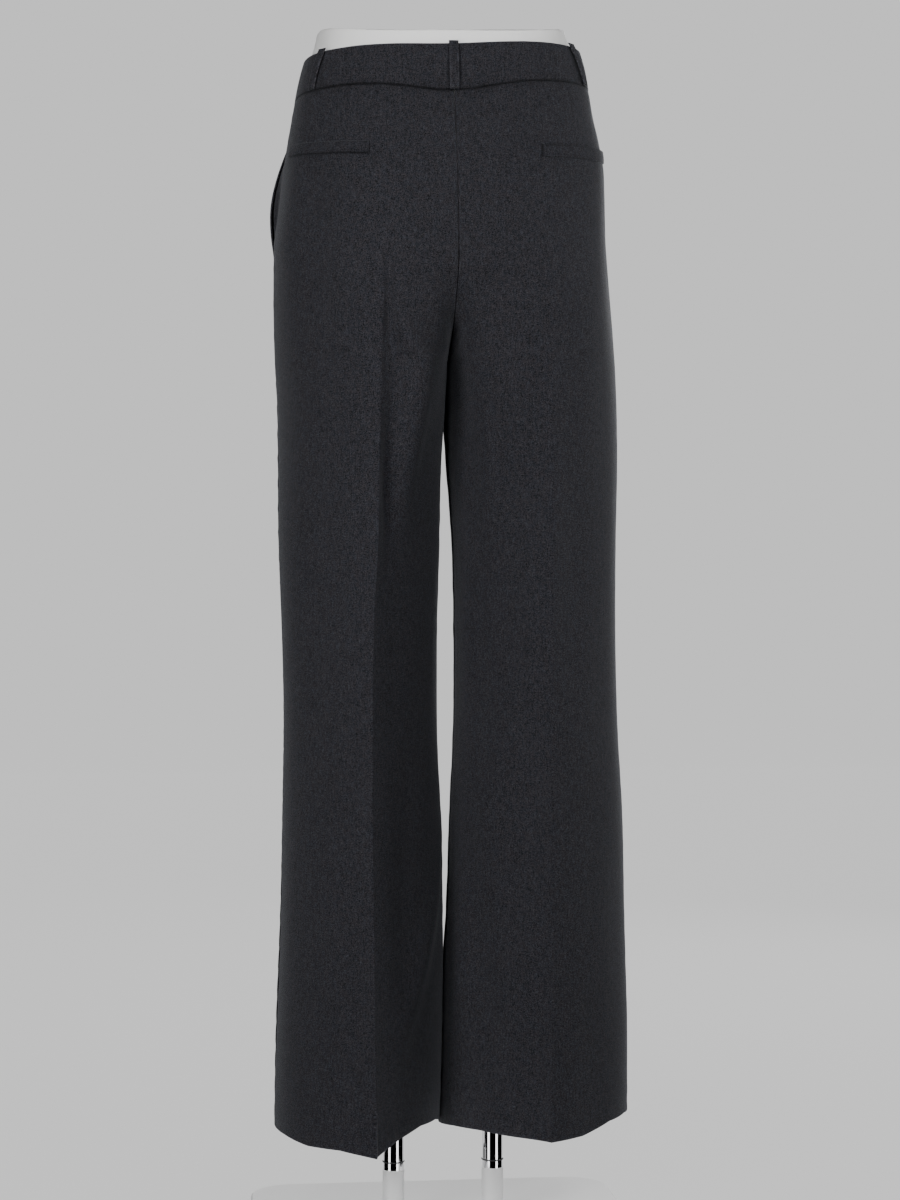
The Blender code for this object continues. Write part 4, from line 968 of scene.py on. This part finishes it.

# %% [markdown]
# ## Pocket facings and back welts
# A facing is the side piece that shows in the slanted mouth.  A welt is a
# folded strip: it lies on its panel's own points, moved out, and one long edge
# stands a little off the cloth, which casts a thin shadow line.  Its edges and
# one end are also painted darker, as painted shade.
# %% Pocket facings and back welts
def facing(side, name):
    heights = np.linspace(WAIST_SEAM - 0.0015, POCKET_END + 0.003, 60)
    mouth = POCKET_SLANT * (heights - POCKET_END)[:, None] / (WAIST_SEAM - POCKET_END)
    along = GAP / 2 + (mouth + POCKET_UNDERLAP - GAP / 2) * np.linspace(0.0, 1.0, 24)[None, :]
    under = CLOTH + 2 * LAID_ON + PLEAT_SINK
    out = -under * ease(along / np.maximum(0.75 * mouth, 1e-4)) - CLOTH / 2
    out += 0.95 * GAPE[side] * mouth_open(heights)[:, None] * ease(along / np.maximum(mouth, 1e-4))
    grid = place(side, -1, heights, along, out)
    seam_dip(grid, heights)
    half = CLOTH / 2 * np.maximum(rounded(along, CLOTH / 2), 0.3)
    return wall("pocket_facing_" + name, grid, grid_normals(grid, side), half, cloth_uv(grid))


WELT_EDGES = {1: (0.0002, 0.0013), -1: (0.0013, 0.0002)}     # upper and lower edge off the cloth
# painted shade lines along a welt's upper and lower edge: how far from each edge they start
WELT_SHADE_START = {1: (0.0004, 0.0), -1: (0.0, 0.0010)}          # where a dark line starts, the same
WELT_CROWN = 0.0004                                          # how much higher its middle stands
WELT_WAVE = 0.00015


def welt(side, name):
    panel = PANELS[side, 1]
    row = int(np.argmin(np.abs(HEIGHTS - WELT_TOP)))
    count = np.arange(panel["middle"].shape[1])
    first, last = np.interp((WELT_FROM, WELT_TO), panel["along"][row], count)
    columns = crowded(first, last, 66, (0.0, 0.12, 0.3, 0.6))
    share = (WELT_TO - np.interp(columns, count, panel["along"][row])) / (WELT_TO - WELT_FROM)
    down = crowded(0.0, 1.0, 14, NEAR_STRIP)[:, None]
    z = WELT_TOP - WELT_TALL * down + WELT_RISE * share[None, :]
    rows = np.interp(-z, -HEIGHTS, np.arange(len(HEIGHTS)))
    columns = np.broadcast_to(columns, rows.shape)
    normal = between(panel["normal"], rows, columns)
    upper, lower = WELT_EDGES[side]
    off = upper + (lower - upper) * down + WELT_CROWN * np.sin(pi * down)
    off = off + WELT_WAVE * ripple(share * 0.1, 9, 3, 0.04)
    half = CLOTH / 2 * np.maximum(rounded(np.minimum(down, 1 - down) * WELT_TALL, 0.0009), 0.2) + 0 * share
    grid = between(panel["middle"], rows, columns) + normal * (CLOTH + off)[..., None]
    above, below = WELT_SHADE_START[side]
    from_end = (1.0 - share) * (WELT_TO - WELT_FROM) if side > 0 else share * (WELT_TO - WELT_FROM)
    # distance that paints dark shade lines along the welt's edges and at one end
    seam = np.minimum(np.minimum(down * WELT_TALL + above, (1 - down) * WELT_TALL + below), from_end)
    return wall("welt_back_" + name, grid, normal, half, cloth_uv(grid), seam=seam)


for SIDE, NAME in SIDES:
    print(facing(SIDE, NAME).name, welt(SIDE, NAME).name)

# %% [markdown]
# ## Waistband
# Two halves, stiffened, so they are smooth and thick with rounded edges.  The
# right half goes on past the centre front as the button tab: it steps out in a
# short ramp and laps over the left half.
# %% Waistband
BAND_SHARE = crowded(0.0, 1.0, 16, (0.0, 0.008, 0.02, 0.04, 0.07))
BAND_HEIGHTS = WAIST_SEAM + (BAND_TOP - WAIST_SEAM) * BAND_SHARE
BAND_CROWN = 0.0005
BAND_WAVE = 0.0004
ALLOWANCE_LOW, ALLOWANCE_HIGH = -0.0012, 0.0060      # the turned-up edge, about the waist seam
ALLOWANCE_BEHIND = 0.0012
ALLOWANCE_HALF = 0.0004


def waistband(side, name):
    crown = BAND_CROWN * np.sin(pi * BAND_SHARE)[:, None]
    run = {face: whole_length(side, face, BAND_HEIGHTS) for face in (1, -1)}
    near = (0.0, 0.0005, 0.0012, 0.0024)
    back_along = run[1] - crowded(0.0, 1.0, 70, near, (0.0,))[None, :] * (run[1] - GAP / 2) - GAP / 2
    front_end = run[-1] - GAP
    front_along = front_end * crowded(0.0, 1.0, 70, (0.0,), near)[None, 1:]
    lift = np.zeros_like(front_along)
    if side < 0:
        lift = TAB_LIFT * ease((front_along - run[-1] + TAB_RAMP) / (TAB_RAMP - TAB_START))
    parts = []
    for face, along, out in ((1, back_along, 0.0), (-1, front_along, lift)):
        wave = BAND_WAVE * ripple(along / 0.35 + side, 71 + face + side, 4, 0.3)
        parts.append(place(side, face, BAND_HEIGHTS, along, out + crown + wave - BAND_WALL / 2))
    if side < 0:
        reach = crowded(GAP, TAB_LONG, 24, (0.0,), near)[None, :]
        along = whole_length(1, -1, BAND_HEIGHTS) - reach
        parts.append(place(1, -1, BAND_HEIGHTS, along, TAB_LIFT + crown + 0 * reach - BAND_WALL / 2))
    grid = np.concatenate(parts, axis=1)
    band_dip(grid, BAND_SHARE[:, None])
    uv = cloth_uv(grid)
    across = uv[..., 0]
    from_end = np.minimum(np.abs(across - across[:, :1]), np.abs(across[:, -1:] - across))
    from_seam = (BAND_HEIGHTS[:, None] - WAIST_SEAM) + 0 * across
    from_top = BAND_TOP - WAIST_SEAM - from_seam
    edge = np.minimum(np.minimum(from_seam, from_top), from_end)
    half = BAND_WALL / 2 * np.maximum(rounded(edge, BAND_WALL / 2), 0.12)
    # along the waist seam the wool gets painted seam shade, from from_seam
    return wall("waistband_" + name, grid, grid_normals(grid, -side), half, uv, seam=from_seam, free=from_top)


def seam_allowance(side, name):
    """The turned-up edge behind the waist seam, which closes its gap."""
    heights = WAIST_SEAM + np.linspace(ALLOWANCE_LOW, ALLOWANCE_HIGH, 6)
    parts = []
    for face, share in ((1, np.linspace(1.0, 0.0, 60)), (-1, np.linspace(0.0, 1.0, 60)[1:])):
        total = whole_length(side, face, heights)
        along = np.minimum(share[None, :] * total, total - 4 * GAP)
        parts.append(place(side, face, heights, along, np.full_like(along, -BAND_WALL - ALLOWANCE_BEHIND)))
    grid = np.concatenate(parts, axis=1)
    band_dip(grid, 0.0)
    half = np.full(grid.shape[:2], ALLOWANCE_HALF)
    # seam=0.0 paints the seam shade over the whole strip, so it reads as shade in the gap
    return wall("seam_allowance_" + name, grid, grid_normals(grid, -side), half, cloth_uv(grid),
                seam=0.0, backs="waistband_" + name)


for SIDE, NAME in SIDES:
    PIECE = waistband(SIDE, NAME)
    print(PIECE.name, len(PIECE.data.polygons), "faces", seam_allowance(SIDE, NAME).name)

# %% [markdown]
# ## Belt loops
# A folded strip, sewn down at both ends and standing off the band between, with
# its long edges rounded.
# %% Belt loops
LOOP_PATHS = {}


def belt_loop(name, side, face, bottom_at, top_at):
    share = crowded(0.0, 1.0, 40, (0.0, 0.008, 0.02))
    low, high = WAIST_SEAM + LOOP_SEAT, BAND_TOP + LOOP_ABOVE
    heights = low + (high - low) * share
    stand = LOOP_STAND_OFF * np.sin(pi * share) ** 0.6 + LAID_ON
    x, y = outline(side, face, heights)
    at = bottom_at + (top_at - bottom_at) * share[:, None]
    centre = in_rows(at, np.abs(x)[:, ::-1], lengths(x, y)[:, ::-1])
    middle = place(side, face, heights, centre, stand[:, None])[:, 0]
    out = place(side, face, heights, centre, stand[:, None] + 1.0)[:, 0] - middle
    across = unit(np.cross(out, UP))
    band_dip(middle, share)
    offset = crowded(-0.5, 0.5, 12, NEAR_STRIP) * LOOP_WIDE
    grid = middle[:, None, :] + across[:, None, :] * offset[None, :, None] + out[:, None, :] * LOOP_THICK / 2
    normal = np.broadcast_to(out[:, None, :], grid.shape)
    from_end = np.minimum(share, 1 - share)[:, None] * (high - low)
    edge = np.minimum(LOOP_WIDE / 2 - np.abs(offset)[None, :], from_end)
    half = LOOP_THICK / 2 * np.maximum(rounded(edge, LOOP_THICK / 2), 0.15)
    LOOP_PATHS[name] = (middle, across, out)
    return wall("belt_loop_" + name, grid, normal, half, cloth_uv(grid, len(offset) // 2), free=edge)


for ROW in LOOPS:
    print(belt_loop(**dict(zip(LOOP_COLUMNS, ROW))).name)

# %% [markdown]
# ## Fly shield
# The strip behind the front opening, across both front panels.
# %% Fly shield
def fly_shield():
    heights = np.linspace(WAIST_SEAM - FLY_SHORT, WAIST_SEAM - FLY_LONG, 30)
    reach = np.linspace(0.5, 1e-3, 12)[None, :] * FLY_WIDE
    inward = np.full((len(heights), 12), -(CLOTH + LAID_ON + PLEAT_SINK + CLOTH / 2))
    grid = np.concatenate([place(side, -1, heights, whole_length(side, -1, heights) - away, inward)
                           for side, away in ((-1, reach), (1, reach[:, ::-1]))], axis=1)
    seam_dip(grid, heights)
    normal = grid_normals(grid, 1)
    normal = np.where(normal[..., 1:2] > 0, -normal, normal)
    return wall("fly_shield", grid, normal, np.full(grid.shape[:2], CLOTH / 2), cloth_uv(grid, 11))


print(fly_shield().name)

# %% [markdown]
# ## Hip form
# A smooth, plain block.  Its levels are rings on the trousers' own outlines,
# and between them the surface is filled in by Hermite curves.  Above the middle
# of the band it draws in to its top, whose two ends stand a little higher.
# %% Hip form
SNUG = FORM_CLEAR_BAND + BAND_WALL
FORM_COLUMNS = ("height", "clear", "size")
FORM_RINGS = (
    (FORM_BOTTOM, FORM_CLEAR_CLOTH + 0.024, 0.74),
    (0.940, FORM_CLEAR_CLOTH + 0.016, 0.90),
    (0.955, FORM_CLEAR_CLOTH + 0.008, 0.97),
    (0.975, FORM_CLEAR_CLOTH + 0.002, 1.00),
    (1.005, FORM_CLEAR_CLOTH, 1.00),
    (1.040, FORM_CLEAR_CLOTH + 0.002, 1.00),
    (WAIST_SEAM - 0.010, FORM_CLEAR_CLOTH + 0.003, 1.00),
    (WAIST_SEAM + 0.002, FORM_CLEAR_CLOTH + 0.002, 1.00),
    (WAIST_SEAM + 0.012, SNUG, 1.00),
    (FORM_TOP, SNUG, 1.00),
)
FORM_ROUND = 0.0016                            # radius of the top's edge
TILT_FROM, TILT_RUN = 1.040, 0.030             # heights over which the tilt sets in


def hip_form():
    """Rings p = size * outline(z), moved in by `clear`, then mixed with the top
    ring, |x / a|^n + |y / b|^n = 1, by their height over the middle of the band."""
    body = crowded(FORM_BOTTOM, FORM_TOP - FORM_ROUND, 70, (0.0, 0.001, 0.003), (0.0,))
    turn = np.linspace(0.0, pi / 2, 8)[1:]
    heights = np.concatenate([body, FORM_TOP - FORM_ROUND * (1 - np.sin(turn))])
    bevel = np.concatenate([0 * body, FORM_ROUND * (1 - np.cos(turn))])
    clear = column(FORM_RINGS, FORM_COLUMNS, "clear", heights)
    size = column(FORM_RINGS, FORM_COLUMNS, "size", heights)
    share = np.linspace(0.0, 1.0, 61)[None, :]
    quarters = []
    for side, face, way in ((1, 1, -1), (1, -1, 1), (-1, -1, -1), (-1, 1, 1)):
        along = whole_length(side, face, heights) * (share[:, ::-1] if way < 0 else share)
        quarters.append(place(side, face, heights, along, -clear[:, None] + 0 * along)[:, :-1])
    grid = np.concatenate(quarters, axis=1)
    grid[..., :2] *= size[:, None, None]
    middle = (WAIST_SEAM + BAND_TOP) / 2
    up = np.clip((heights - middle) / (FORM_TOP - middle), 0.0, 1.0)[:, None]
    deep = np.where(grid[..., 1] > 0, FORM_TOP_DEEP[1], FORM_TOP_DEEP[-1])
    size = np.abs(grid[..., 0] / FORM_TOP_WIDE) ** HIP_POWER + np.abs(grid[..., 1] / deep) ** HIP_POWER
    top = grid[..., :2] / size[..., None] ** (1 / HIP_POWER)
    lift = FORM_END_LIFT * np.abs(top[..., 0] / FORM_TOP_WIDE) ** FORM_END_POWER
    top = top * (1 - bevel[:, None, None] / FORM_TOP_WIDE) + (FORM_TOP_SHIFT, 0.0)
    grid[..., :2] += up[..., None] * (top - grid[..., :2])
    lift = lift - FORM_TOP_TILT * grid[..., 0]
    tilt = -WAIST_TILT * grid[..., 0] * ease((heights[:, None] - TILT_FROM) / TILT_RUN)
    grid[..., 2] += up * lift + (1 - up) * tilt
    rows, columns = grid.shape[:2]
    number = np.arange(rows * columns).reshape(rows, columns)
    caps = (number[0, ::-1].tolist(), number[-1].tolist())
    piece = add_piece("hip_form_satin", grid.reshape(-1, 3), tube_faces(rows, columns), WHITE, "form_white",
                      sharp=40.0, caps=caps)
    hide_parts("hip_form")
    return piece


FORM = hip_form()
print(FORM.name)

# %% [markdown]
# ## Collars of the poles
# A dark ring closes each pole just above its socket.
# %% Collars of the poles
POLE_SPACING = 0.0955
POLE_RADIUS = 0.0100
COLLAR_HIGH = 0.0639
COLLAR_THICK = 0.0014


def collar(name, x):
    """A torus: (R + r cos b) round the pole, r sin b up."""
    turn, over = np.meshgrid(np.arange(48) * 2 * pi / 48, np.arange(12) * 2 * pi / 12, indexing="ij")
    reach = POLE_RADIUS + COLLAR_THICK / 2 * np.cos(over)
    high = COLLAR_HIGH + COLLAR_THICK / 2 * np.sin(over)
    points = np.stack([x + reach * np.cos(turn), reach * np.sin(turn), high], axis=-1)
    return add_piece(name, points.reshape(-1, 3), tube_faces(48, 12, True), RUBBER, "pole_chrome")


for SIDE, NAME in SIDES:
    print(collar("pole_collar_" + NAME, SIDE * POLE_SPACING / 2).name)

# %% [markdown]
# ## Stitches
# One short stitch is a thin capsule, bent so that its ends dip into the cloth.
# All the stitches of a seam are one mesh: the capsule's points are carried to
# every place at once with the direction along the seam and the cloth's normal.
# %% Stitches
def capsule(sides=6, rings=7):
    """A capsule of length 1 and radius 1 as (place along, sideways, up, dip)."""
    t = np.linspace(0.0, 1.0, rings)
    radius = np.maximum(np.sin(pi * t) ** 0.35, 0.12)
    turn = np.arange(sides) * 2 * pi / sides
    along = np.broadcast_to((t - 0.5)[:, None], (rings, sides))
    dip = np.broadcast_to((1 - np.sin(pi * t))[:, None], (rings, sides))
    shape = np.stack([along, radius[:, None] * np.cos(turn), radius[:, None] * np.sin(turn), dip], axis=-1)
    return shape.reshape(-1, 4), tube_faces(rings, sides)


def stitches(name, points, ways, normals, long, thick=THREAD, dip=0.0003):
    """point + way * a * long + (n x way) * b * r + n * (c * r - dip * d)."""
    shape, faces = capsule()
    ways, normals = unit(ways), unit(normals)
    beside = np.cross(normals, ways)
    r = thick / 2
    cloud = (points[:, None] + ways[:, None] * (shape[None, :, 0, None] * long)
             + beside[:, None] * (shape[None, :, 1, None] * r)
             + normals[:, None] * (shape[None, :, 2, None] * r - shape[None, :, 3, None] * dip + r * 0.6))
    faces = (faces[None] + (np.arange(len(points)) * len(shape))[:, None, None]).reshape(-1, 4)
    return add_piece(name, cloud.reshape(-1, 3), faces, THREAD_LOOK, "suiting_wool", sharp=80.0)


def bar_tack(middle, across, out, wide, count):
    """Places, ways and normals of a dense bar of upright stitches."""
    offset = np.linspace(-wide / 2, wide / 2, count)
    points = middle[None] + across[None] * offset[:, None]
    way = np.cross(across, out)
    return points, np.broadcast_to(way, points.shape), np.broadcast_to(out, points.shape)


def joined_stitches(name, parts, long):
    """One mesh of the stitches of several parts."""
    return stitches(name, *(np.concatenate(values) for values in zip(*parts)), long)


LOOP_TACKS = [
    bar_tack(MIDDLE[ROW] + OUT[ROW] * (LOOP_THICK + 0.0001), ACROSS[ROW], OUT[ROW], LOOP_WIDE * 0.86, 18)
    for MIDDLE, ACROSS, OUT in LOOP_PATHS.values() for ROW in (3, -4)]
print(joined_stitches("loop_tacks", LOOP_TACKS, 0.0016).name)

# %% [markdown]
# ## Stitching on the front and at the pockets
# The fly has a J of topstitching on the overlapping side, the pocket mouths end
# in bar tacks, and each welt has a small tack at its inner end.
# %% Stitching on the front and at the pockets
def on_panel(side, face, z, along):
    """Point and normal on a panel's outer surface, by height and length."""
    panel = PANELS[side, face]
    rows = np.interp(-z, -HEIGHTS, np.arange(len(HEIGHTS)))
    row = np.round(rows).astype(int)
    table = panel["along"][row]
    count = np.broadcast_to(np.arange(table.shape[1], dtype=float), table.shape)
    table = np.maximum.accumulate(table, axis=1)
    column_at = in_rows(along[:, None], table, count)[:, 0]
    middle = between(panel["middle"], rows[:, None], column_at[:, None])[:, 0]
    normal = between(panel["normal"], rows[:, None], column_at[:, None])[:, 0]
    return middle + normal * CLOTH / 2, normal


def seam_line(side, face, z, along, pitch=0.0030):
    """Stitch places at an even pitch along a curve on a panel."""
    points, normals = on_panel(side, face, z, along)
    run = lengths(*points.T[:, None])[0]
    at = np.arange(pitch, run[-1], pitch)
    spots, ups, ahead = (np.stack([np.interp(where, run, values[:, k]) for k in range(3)], axis=-1)
                         for where, values in ((at, points), (at, normals), (at + pitch / 4, points)))
    return spots, ahead - spots, ups


J_WIDE = 0.030         # from the centre front to the topstitching
J_TURN = 0.72          # share of its length where the J starts to turn


def fly_stitching():
    """A line parallel to the centre front that curves into it at the bottom."""
    t = np.linspace(0.0, 1.0, 160)
    z = WAIST_SEAM - 0.003 - (FLY_LONG - 0.003) * t
    reach = J_WIDE * np.sqrt(np.clip(1 - ((t - J_TURN) / (1 - J_TURN)).clip(0) ** 2, 0.0, 1.0)) + 0.001
    return seam_line(-1, -1, z, whole_length(-1, -1, z)[:, 0] - reach)


TACK_COLUMNS = ("face", "z", "along")
TACKS = ((-1, POCKET_END - 0.002, 0.0025), (1, WELT_TOP - WELT_TALL / 2, WELT_TO + 0.0004))
TACK_WIDE = 0.005


def tack(side, face, z, along):
    """A level bar at the foot of a pocket mouth, an upright one on a welt."""
    point, normal = on_panel(side, face, np.array([z]), np.array([along]))
    return bar_tack(point[0], np.cross(normal[0], UP) if face < 0 else UP, normal[0], TACK_WIDE, 12)


STITCHES = [fly_stitching()]
for SIDE, _ in SIDES:
    STITCHES += [tack(SIDE, **dict(zip(TACK_COLUMNS, ROW))) for ROW in TACKS]
print(joined_stitches("seam_stitches", STITCHES, 0.0022).name)

# %% [markdown]
# ## Button thread and buttonhole
# Two groups of three stitches hold the button; the buttonhole round it is a
# close row of short stitches on the tab's surface.
# %% Button thread and buttonhole
def tab_frame():
    """A point on the tab's outer surface behind the button, and its axes."""
    heights = (WAIST_SEAM + BAND_TOP) / 2 + BUTTON_RADIUS * np.array([-1.0, 0.0, 1.0])
    reach = whole_length(1, -1, heights) - BUTTON_PLACE + BUTTON_RADIUS * np.array([[-1.0, 0.0, 1.0]])
    around = place(1, -1, heights, reach, np.full((3, 3), TAB_LIFT + LAID_ON))
    spot = around[1, 1] - (0, 0, (SEAM_DIP["front"] + TOP_DIP["front"]) / 2 + WAIST_TILT * around[1, 1, 0])
    out = np.cross(around[2, 1] - around[0, 1], around[1, 2] - around[1, 0])
    out *= -np.sign(out[1]) / np.linalg.norm(out)
    across = unit(np.cross(UP, out))
    return spot, out, across, np.cross(out, across)


BUTTON_FACE = 0.0024                           # the button's face over the tab
HOLE_HALF, HOLE_SHIFT, HOLE_WIDE = 0.0105, 0.004, 0.0011


def button_thread(spot, out, across, up):
    """Two groups of three stitches over the button's face."""
    level = np.array([low + step for low in (-0.0017, 0.0017) for step in (-0.00028, 0.0, 0.00028)])
    places = spot + out * BUTTON_FACE + up * level[:, None]
    ways, normals = (np.broadcast_to(v, places.shape) for v in (across, out))
    return stitches("button_thread", places, ways, normals, 0.0036, 0.0004)


def buttonhole(spot, out, across, up):
    """Stitches square to a long oval, x = a cos t - s, z = b |sin t|^0.5."""
    turn = np.linspace(0.0, 2 * pi, 90, endpoint=False)[:, None]
    level = HOLE_WIDE * np.sign(np.sin(turn)) * np.abs(np.sin(turn)) ** 0.5
    places = spot + across * (HOLE_HALF * np.cos(turn) - HOLE_SHIFT) + up * level + out * 0.0001
    ways = across * 0.25 * np.cos(turn) + up * np.where(np.sin(turn) >= 0, 1.0, -1.0)
    return stitches("buttonhole", places, ways, np.broadcast_to(out, places.shape), 0.0022, 0.00035, 0.0001)


print(button_thread(*tab_frame()).name, buttonhole(*tab_frame()).name)

# %% [markdown]
# ## What each sheet was cut to
# Flat sizes in metres, measured on the middle of each wall, are printed: width,
# length and area, and what each piece rests on.  A belt loop is a piece on the
# band and is left out.
# %% Flat sizes
HELD_BY = {"front": "waistband_", "back": "waistband_", "pocket_facing": "front_", "welt_back": "back_"}
ON_BAND = {"waistband_left": ("side_left", "front_left"),
           "waistband_right": ("side_right", "front_right", "back")}
for NAME, (PIECE, (WIDTH, LENGTH, AREA)) in CLOTHS.items():
    if NAME.startswith("belt_loop"):
        continue
    FAMILY, _, SIDE_NAME = NAME.rpartition("_")
    REST = {"waistband": "hip_form", "fly": "front_right"}.get(FAMILY, HELD_BY.get(FAMILY, "") + SIDE_NAME)
    LOOPS_ON_IT = [CLOTHS["belt_loop_" + k][0] for k in ON_BAND.get(NAME, ())]
    LOOPS_ON_IT += [BACKINGS[NAME]] if NAME in BACKINGS else []
    round(min(AREA, WIDTH * LENGTH), 5)
    print(NAME, "cut", round(WIDTH, 3), "x", round(LENGTH, 3), "area", round(AREA, 4), "on", REST)

# %% [markdown]
# ## Camera, floor and light
# The camera stands level, 2.3 m behind the garment and a little to its left.
# A pale sweep makes floor and background one.  The key light stands left of the
# camera and a weaker fill to the right, so facets that turn to the right are the
# dark ones; the others soften them and graze the sides.  Two tall strips only
# show in the chrome, and two soft washes keep the form and the base as pale as
# the paper.
# %% Camera, floor and light
CAMERA_TURN = radians(6.5)
CAMERA_AWAY = 2.3
CAMERA_HIGH = 0.601
FOCAL_PIXELS = 2396.0
FRAME_PIXELS = 1200.0
SHIFT_PIXELS = 7.0


def camera():
    data = bpy.data.cameras.new("camera")
    data.sensor_width = 36.0
    data.lens = data.sensor_width * FOCAL_PIXELS / FRAME_PIXELS
    data.shift_x = SHIFT_PIXELS / FRAME_PIXELS
    seen = put("camera", data)
    seen.location = (CAMERA_AWAY * sin(CAMERA_TURN), CAMERA_AWAY * cos(CAMERA_TURN), CAMERA_HIGH)
    seen.rotation_euler = (pi / 2, 0.0, pi - CAMERA_TURN)
    bpy.context.scene.camera = seen


PAPER = (0.10, 0.10, 0.10)
GLOW = (0.80, 0.80, 0.80)
SWEEP_BACK = -6.0      # where the floor starts to turn up into the backdrop
SWEEP_RADIUS = 1.2
FLOOR_SPLIT = -0.15    # in front of this line the floor doesn't show in gloss


def sweep():
    """Backdrop and floor: profiles of a wall, a quarter circle and a flat.  They
    glow evenly, and neither shades nor tints the cloth."""
    turn = np.linspace(pi / 2, 0.0, 24)
    curve = SWEEP_RADIUS * np.stack([-np.sin(turn), 1 - np.cos(turn)], axis=-1) + (SWEEP_BACK, 0.0)
    back = np.concatenate([[[SWEEP_BACK - SWEEP_RADIUS, 6.0]], curve, [[FLOOR_SPLIT, 0.0]]])
    floor = np.array([[FLOOR_SPLIT, 0.0], [7.0, 0.0]])
    look = Look("studio_paper", Roughness=0.95, Specular_IOR_Level=0.1, Emission_Strength=1.0)
    speck = look.noise_at(0.004, 2.0)
    for socket, colour, change in (("Base Color", PAPER, 0.02), ("Emission Color", GLOW, 0.01)):
        look.feed(socket, look.scale(colour, 1.0 + speck * change))
    for name, profile in (("studio_backdrop", back), ("studio_floor", floor)):
        grid = np.stack(np.broadcast_arrays(np.array([[-7.0, 7.0]]), profile[:, :1], profile[:, 1:]), axis=-1)
        mesh = bpy.data.meshes.new(name)
        mesh.from_pydata(grid.reshape(-1, 3).tolist(), [], grid_faces(len(profile), 2).tolist())
        mesh.shade_smooth()
        mesh.materials.append(look.material)
        paper = put(name, mesh)
        paper.visible_diffuse = paper.visible_shadow = False
        paper.visible_glossy = name == "studio_backdrop"


def soft_light(name, turn, away, high, wide, tall, watts, aim, pieces):
    """A panel of light round the garment, `turn` degrees from +Y, aimed at a
    height on the middle line.  Some light the pale or the chrome pieces alone,
    and nothing shades the base from its own."""
    data = bpy.data.lights.new(name, "AREA")
    data.energy = watts
    data.shape = "RECTANGLE"
    data.size, data.size_y = wide, tall
    lamp = put(name, data)
    lamp.location = (away * sin(radians(turn)), away * cos(radians(turn)), high)
    lamp.rotation_euler = (Vector((0.0, 0.0, aim)) - lamp.location).to_track_quat("-Z", "Y").to_euler()
    lamp.visible_camera = False
    if pieces != "all":
        lamp.light_linking.receiver_collection = LINKED[pieces]
    if pieces == "base":
        lamp.light_linking.blocker_collection = LINKED[pieces]


LINKED = {}
for TITLE, PIECES in (("chrome", [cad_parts[NODE] for NODE in POLES]), ("form", [FORM]),
                      ("base", [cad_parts[NODE] for NODE in BASE])):
    LINKED[TITLE] = bpy.data.collections.new(TITLE + "_pieces")
    for PIECE in PIECES:
        LINKED[TITLE].objects.link(PIECE)
LIGHT_COLUMNS = ("name", "turn", "away", "high", "wide", "tall", "watts", "aim", "pieces")
LIGHTS = (
    ("light_key", 40.0, 2.2, 0.75, 0.60, 0.80, 18.5, 0.60, "all"),
    ("light_front", -6.0, 2.2, 1.30, 0.60, 0.80, 3.5, 0.80, "all"),
    ("light_near", 25.0, 1.3, 0.70, 0.50, 0.50, 3.0, 0.70, "all"),
    ("light_high", 25.0, 2.2, 2.20, 0.60, 0.80, 2.5, 0.60, "all"),
    ("light_fill", -29.0, 1.3, 1.40, 0.50, 0.50, 6.0, 1.40, "all"),
    ("light_side", -90.0, 2.2, 0.30, 0.60, 0.80, 12.0, 0.60, "all"),
    ("light_rim_right", -150.0, 2.2, 1.20, 0.60, 0.80, 20.0, 0.60, "all"),
    ("light_rim_low", -120.0, 2.2, 1.20, 0.60, 0.80, 6.0, 0.60, "all"),
    ("light_rim_left", 150.0, 2.2, 1.20, 0.60, 0.80, 3.5, 0.60, "all"),
    ("strip_left", 46.0, 2.4, 0.20, 0.60, 3.60, 20.0, 0.20, "chrome"),
    ("strip_right", -38.0, 2.4, 0.20, 0.60, 3.60, 20.0, 0.20, "chrome"),
    ("wash_form", 5.0, 2.6, 1.20, 1.60, 0.60, 44.0, 1.13, "form"),
    ("wash_base", 5.0, 1.4, 2.80, 1.60, 1.20, 56.0, 0.00, "base"),
)
camera()
sweep()
for ROW in LIGHTS:
    soft_light(**dict(zip(LIGHT_COLUMNS, ROW)))
WORLD = bpy.data.worlds.new("studio")
WORLD.use_nodes = True
SKY = WORLD.node_tree.nodes["Background"].inputs
SKY["Color"].default_value = (1.0, 1.0, 1.0, 1.0)
SKY["Strength"].default_value = 0.02
WORLD.cycles_visibility.glossy = False
bpy.context.scene.world = WORLD
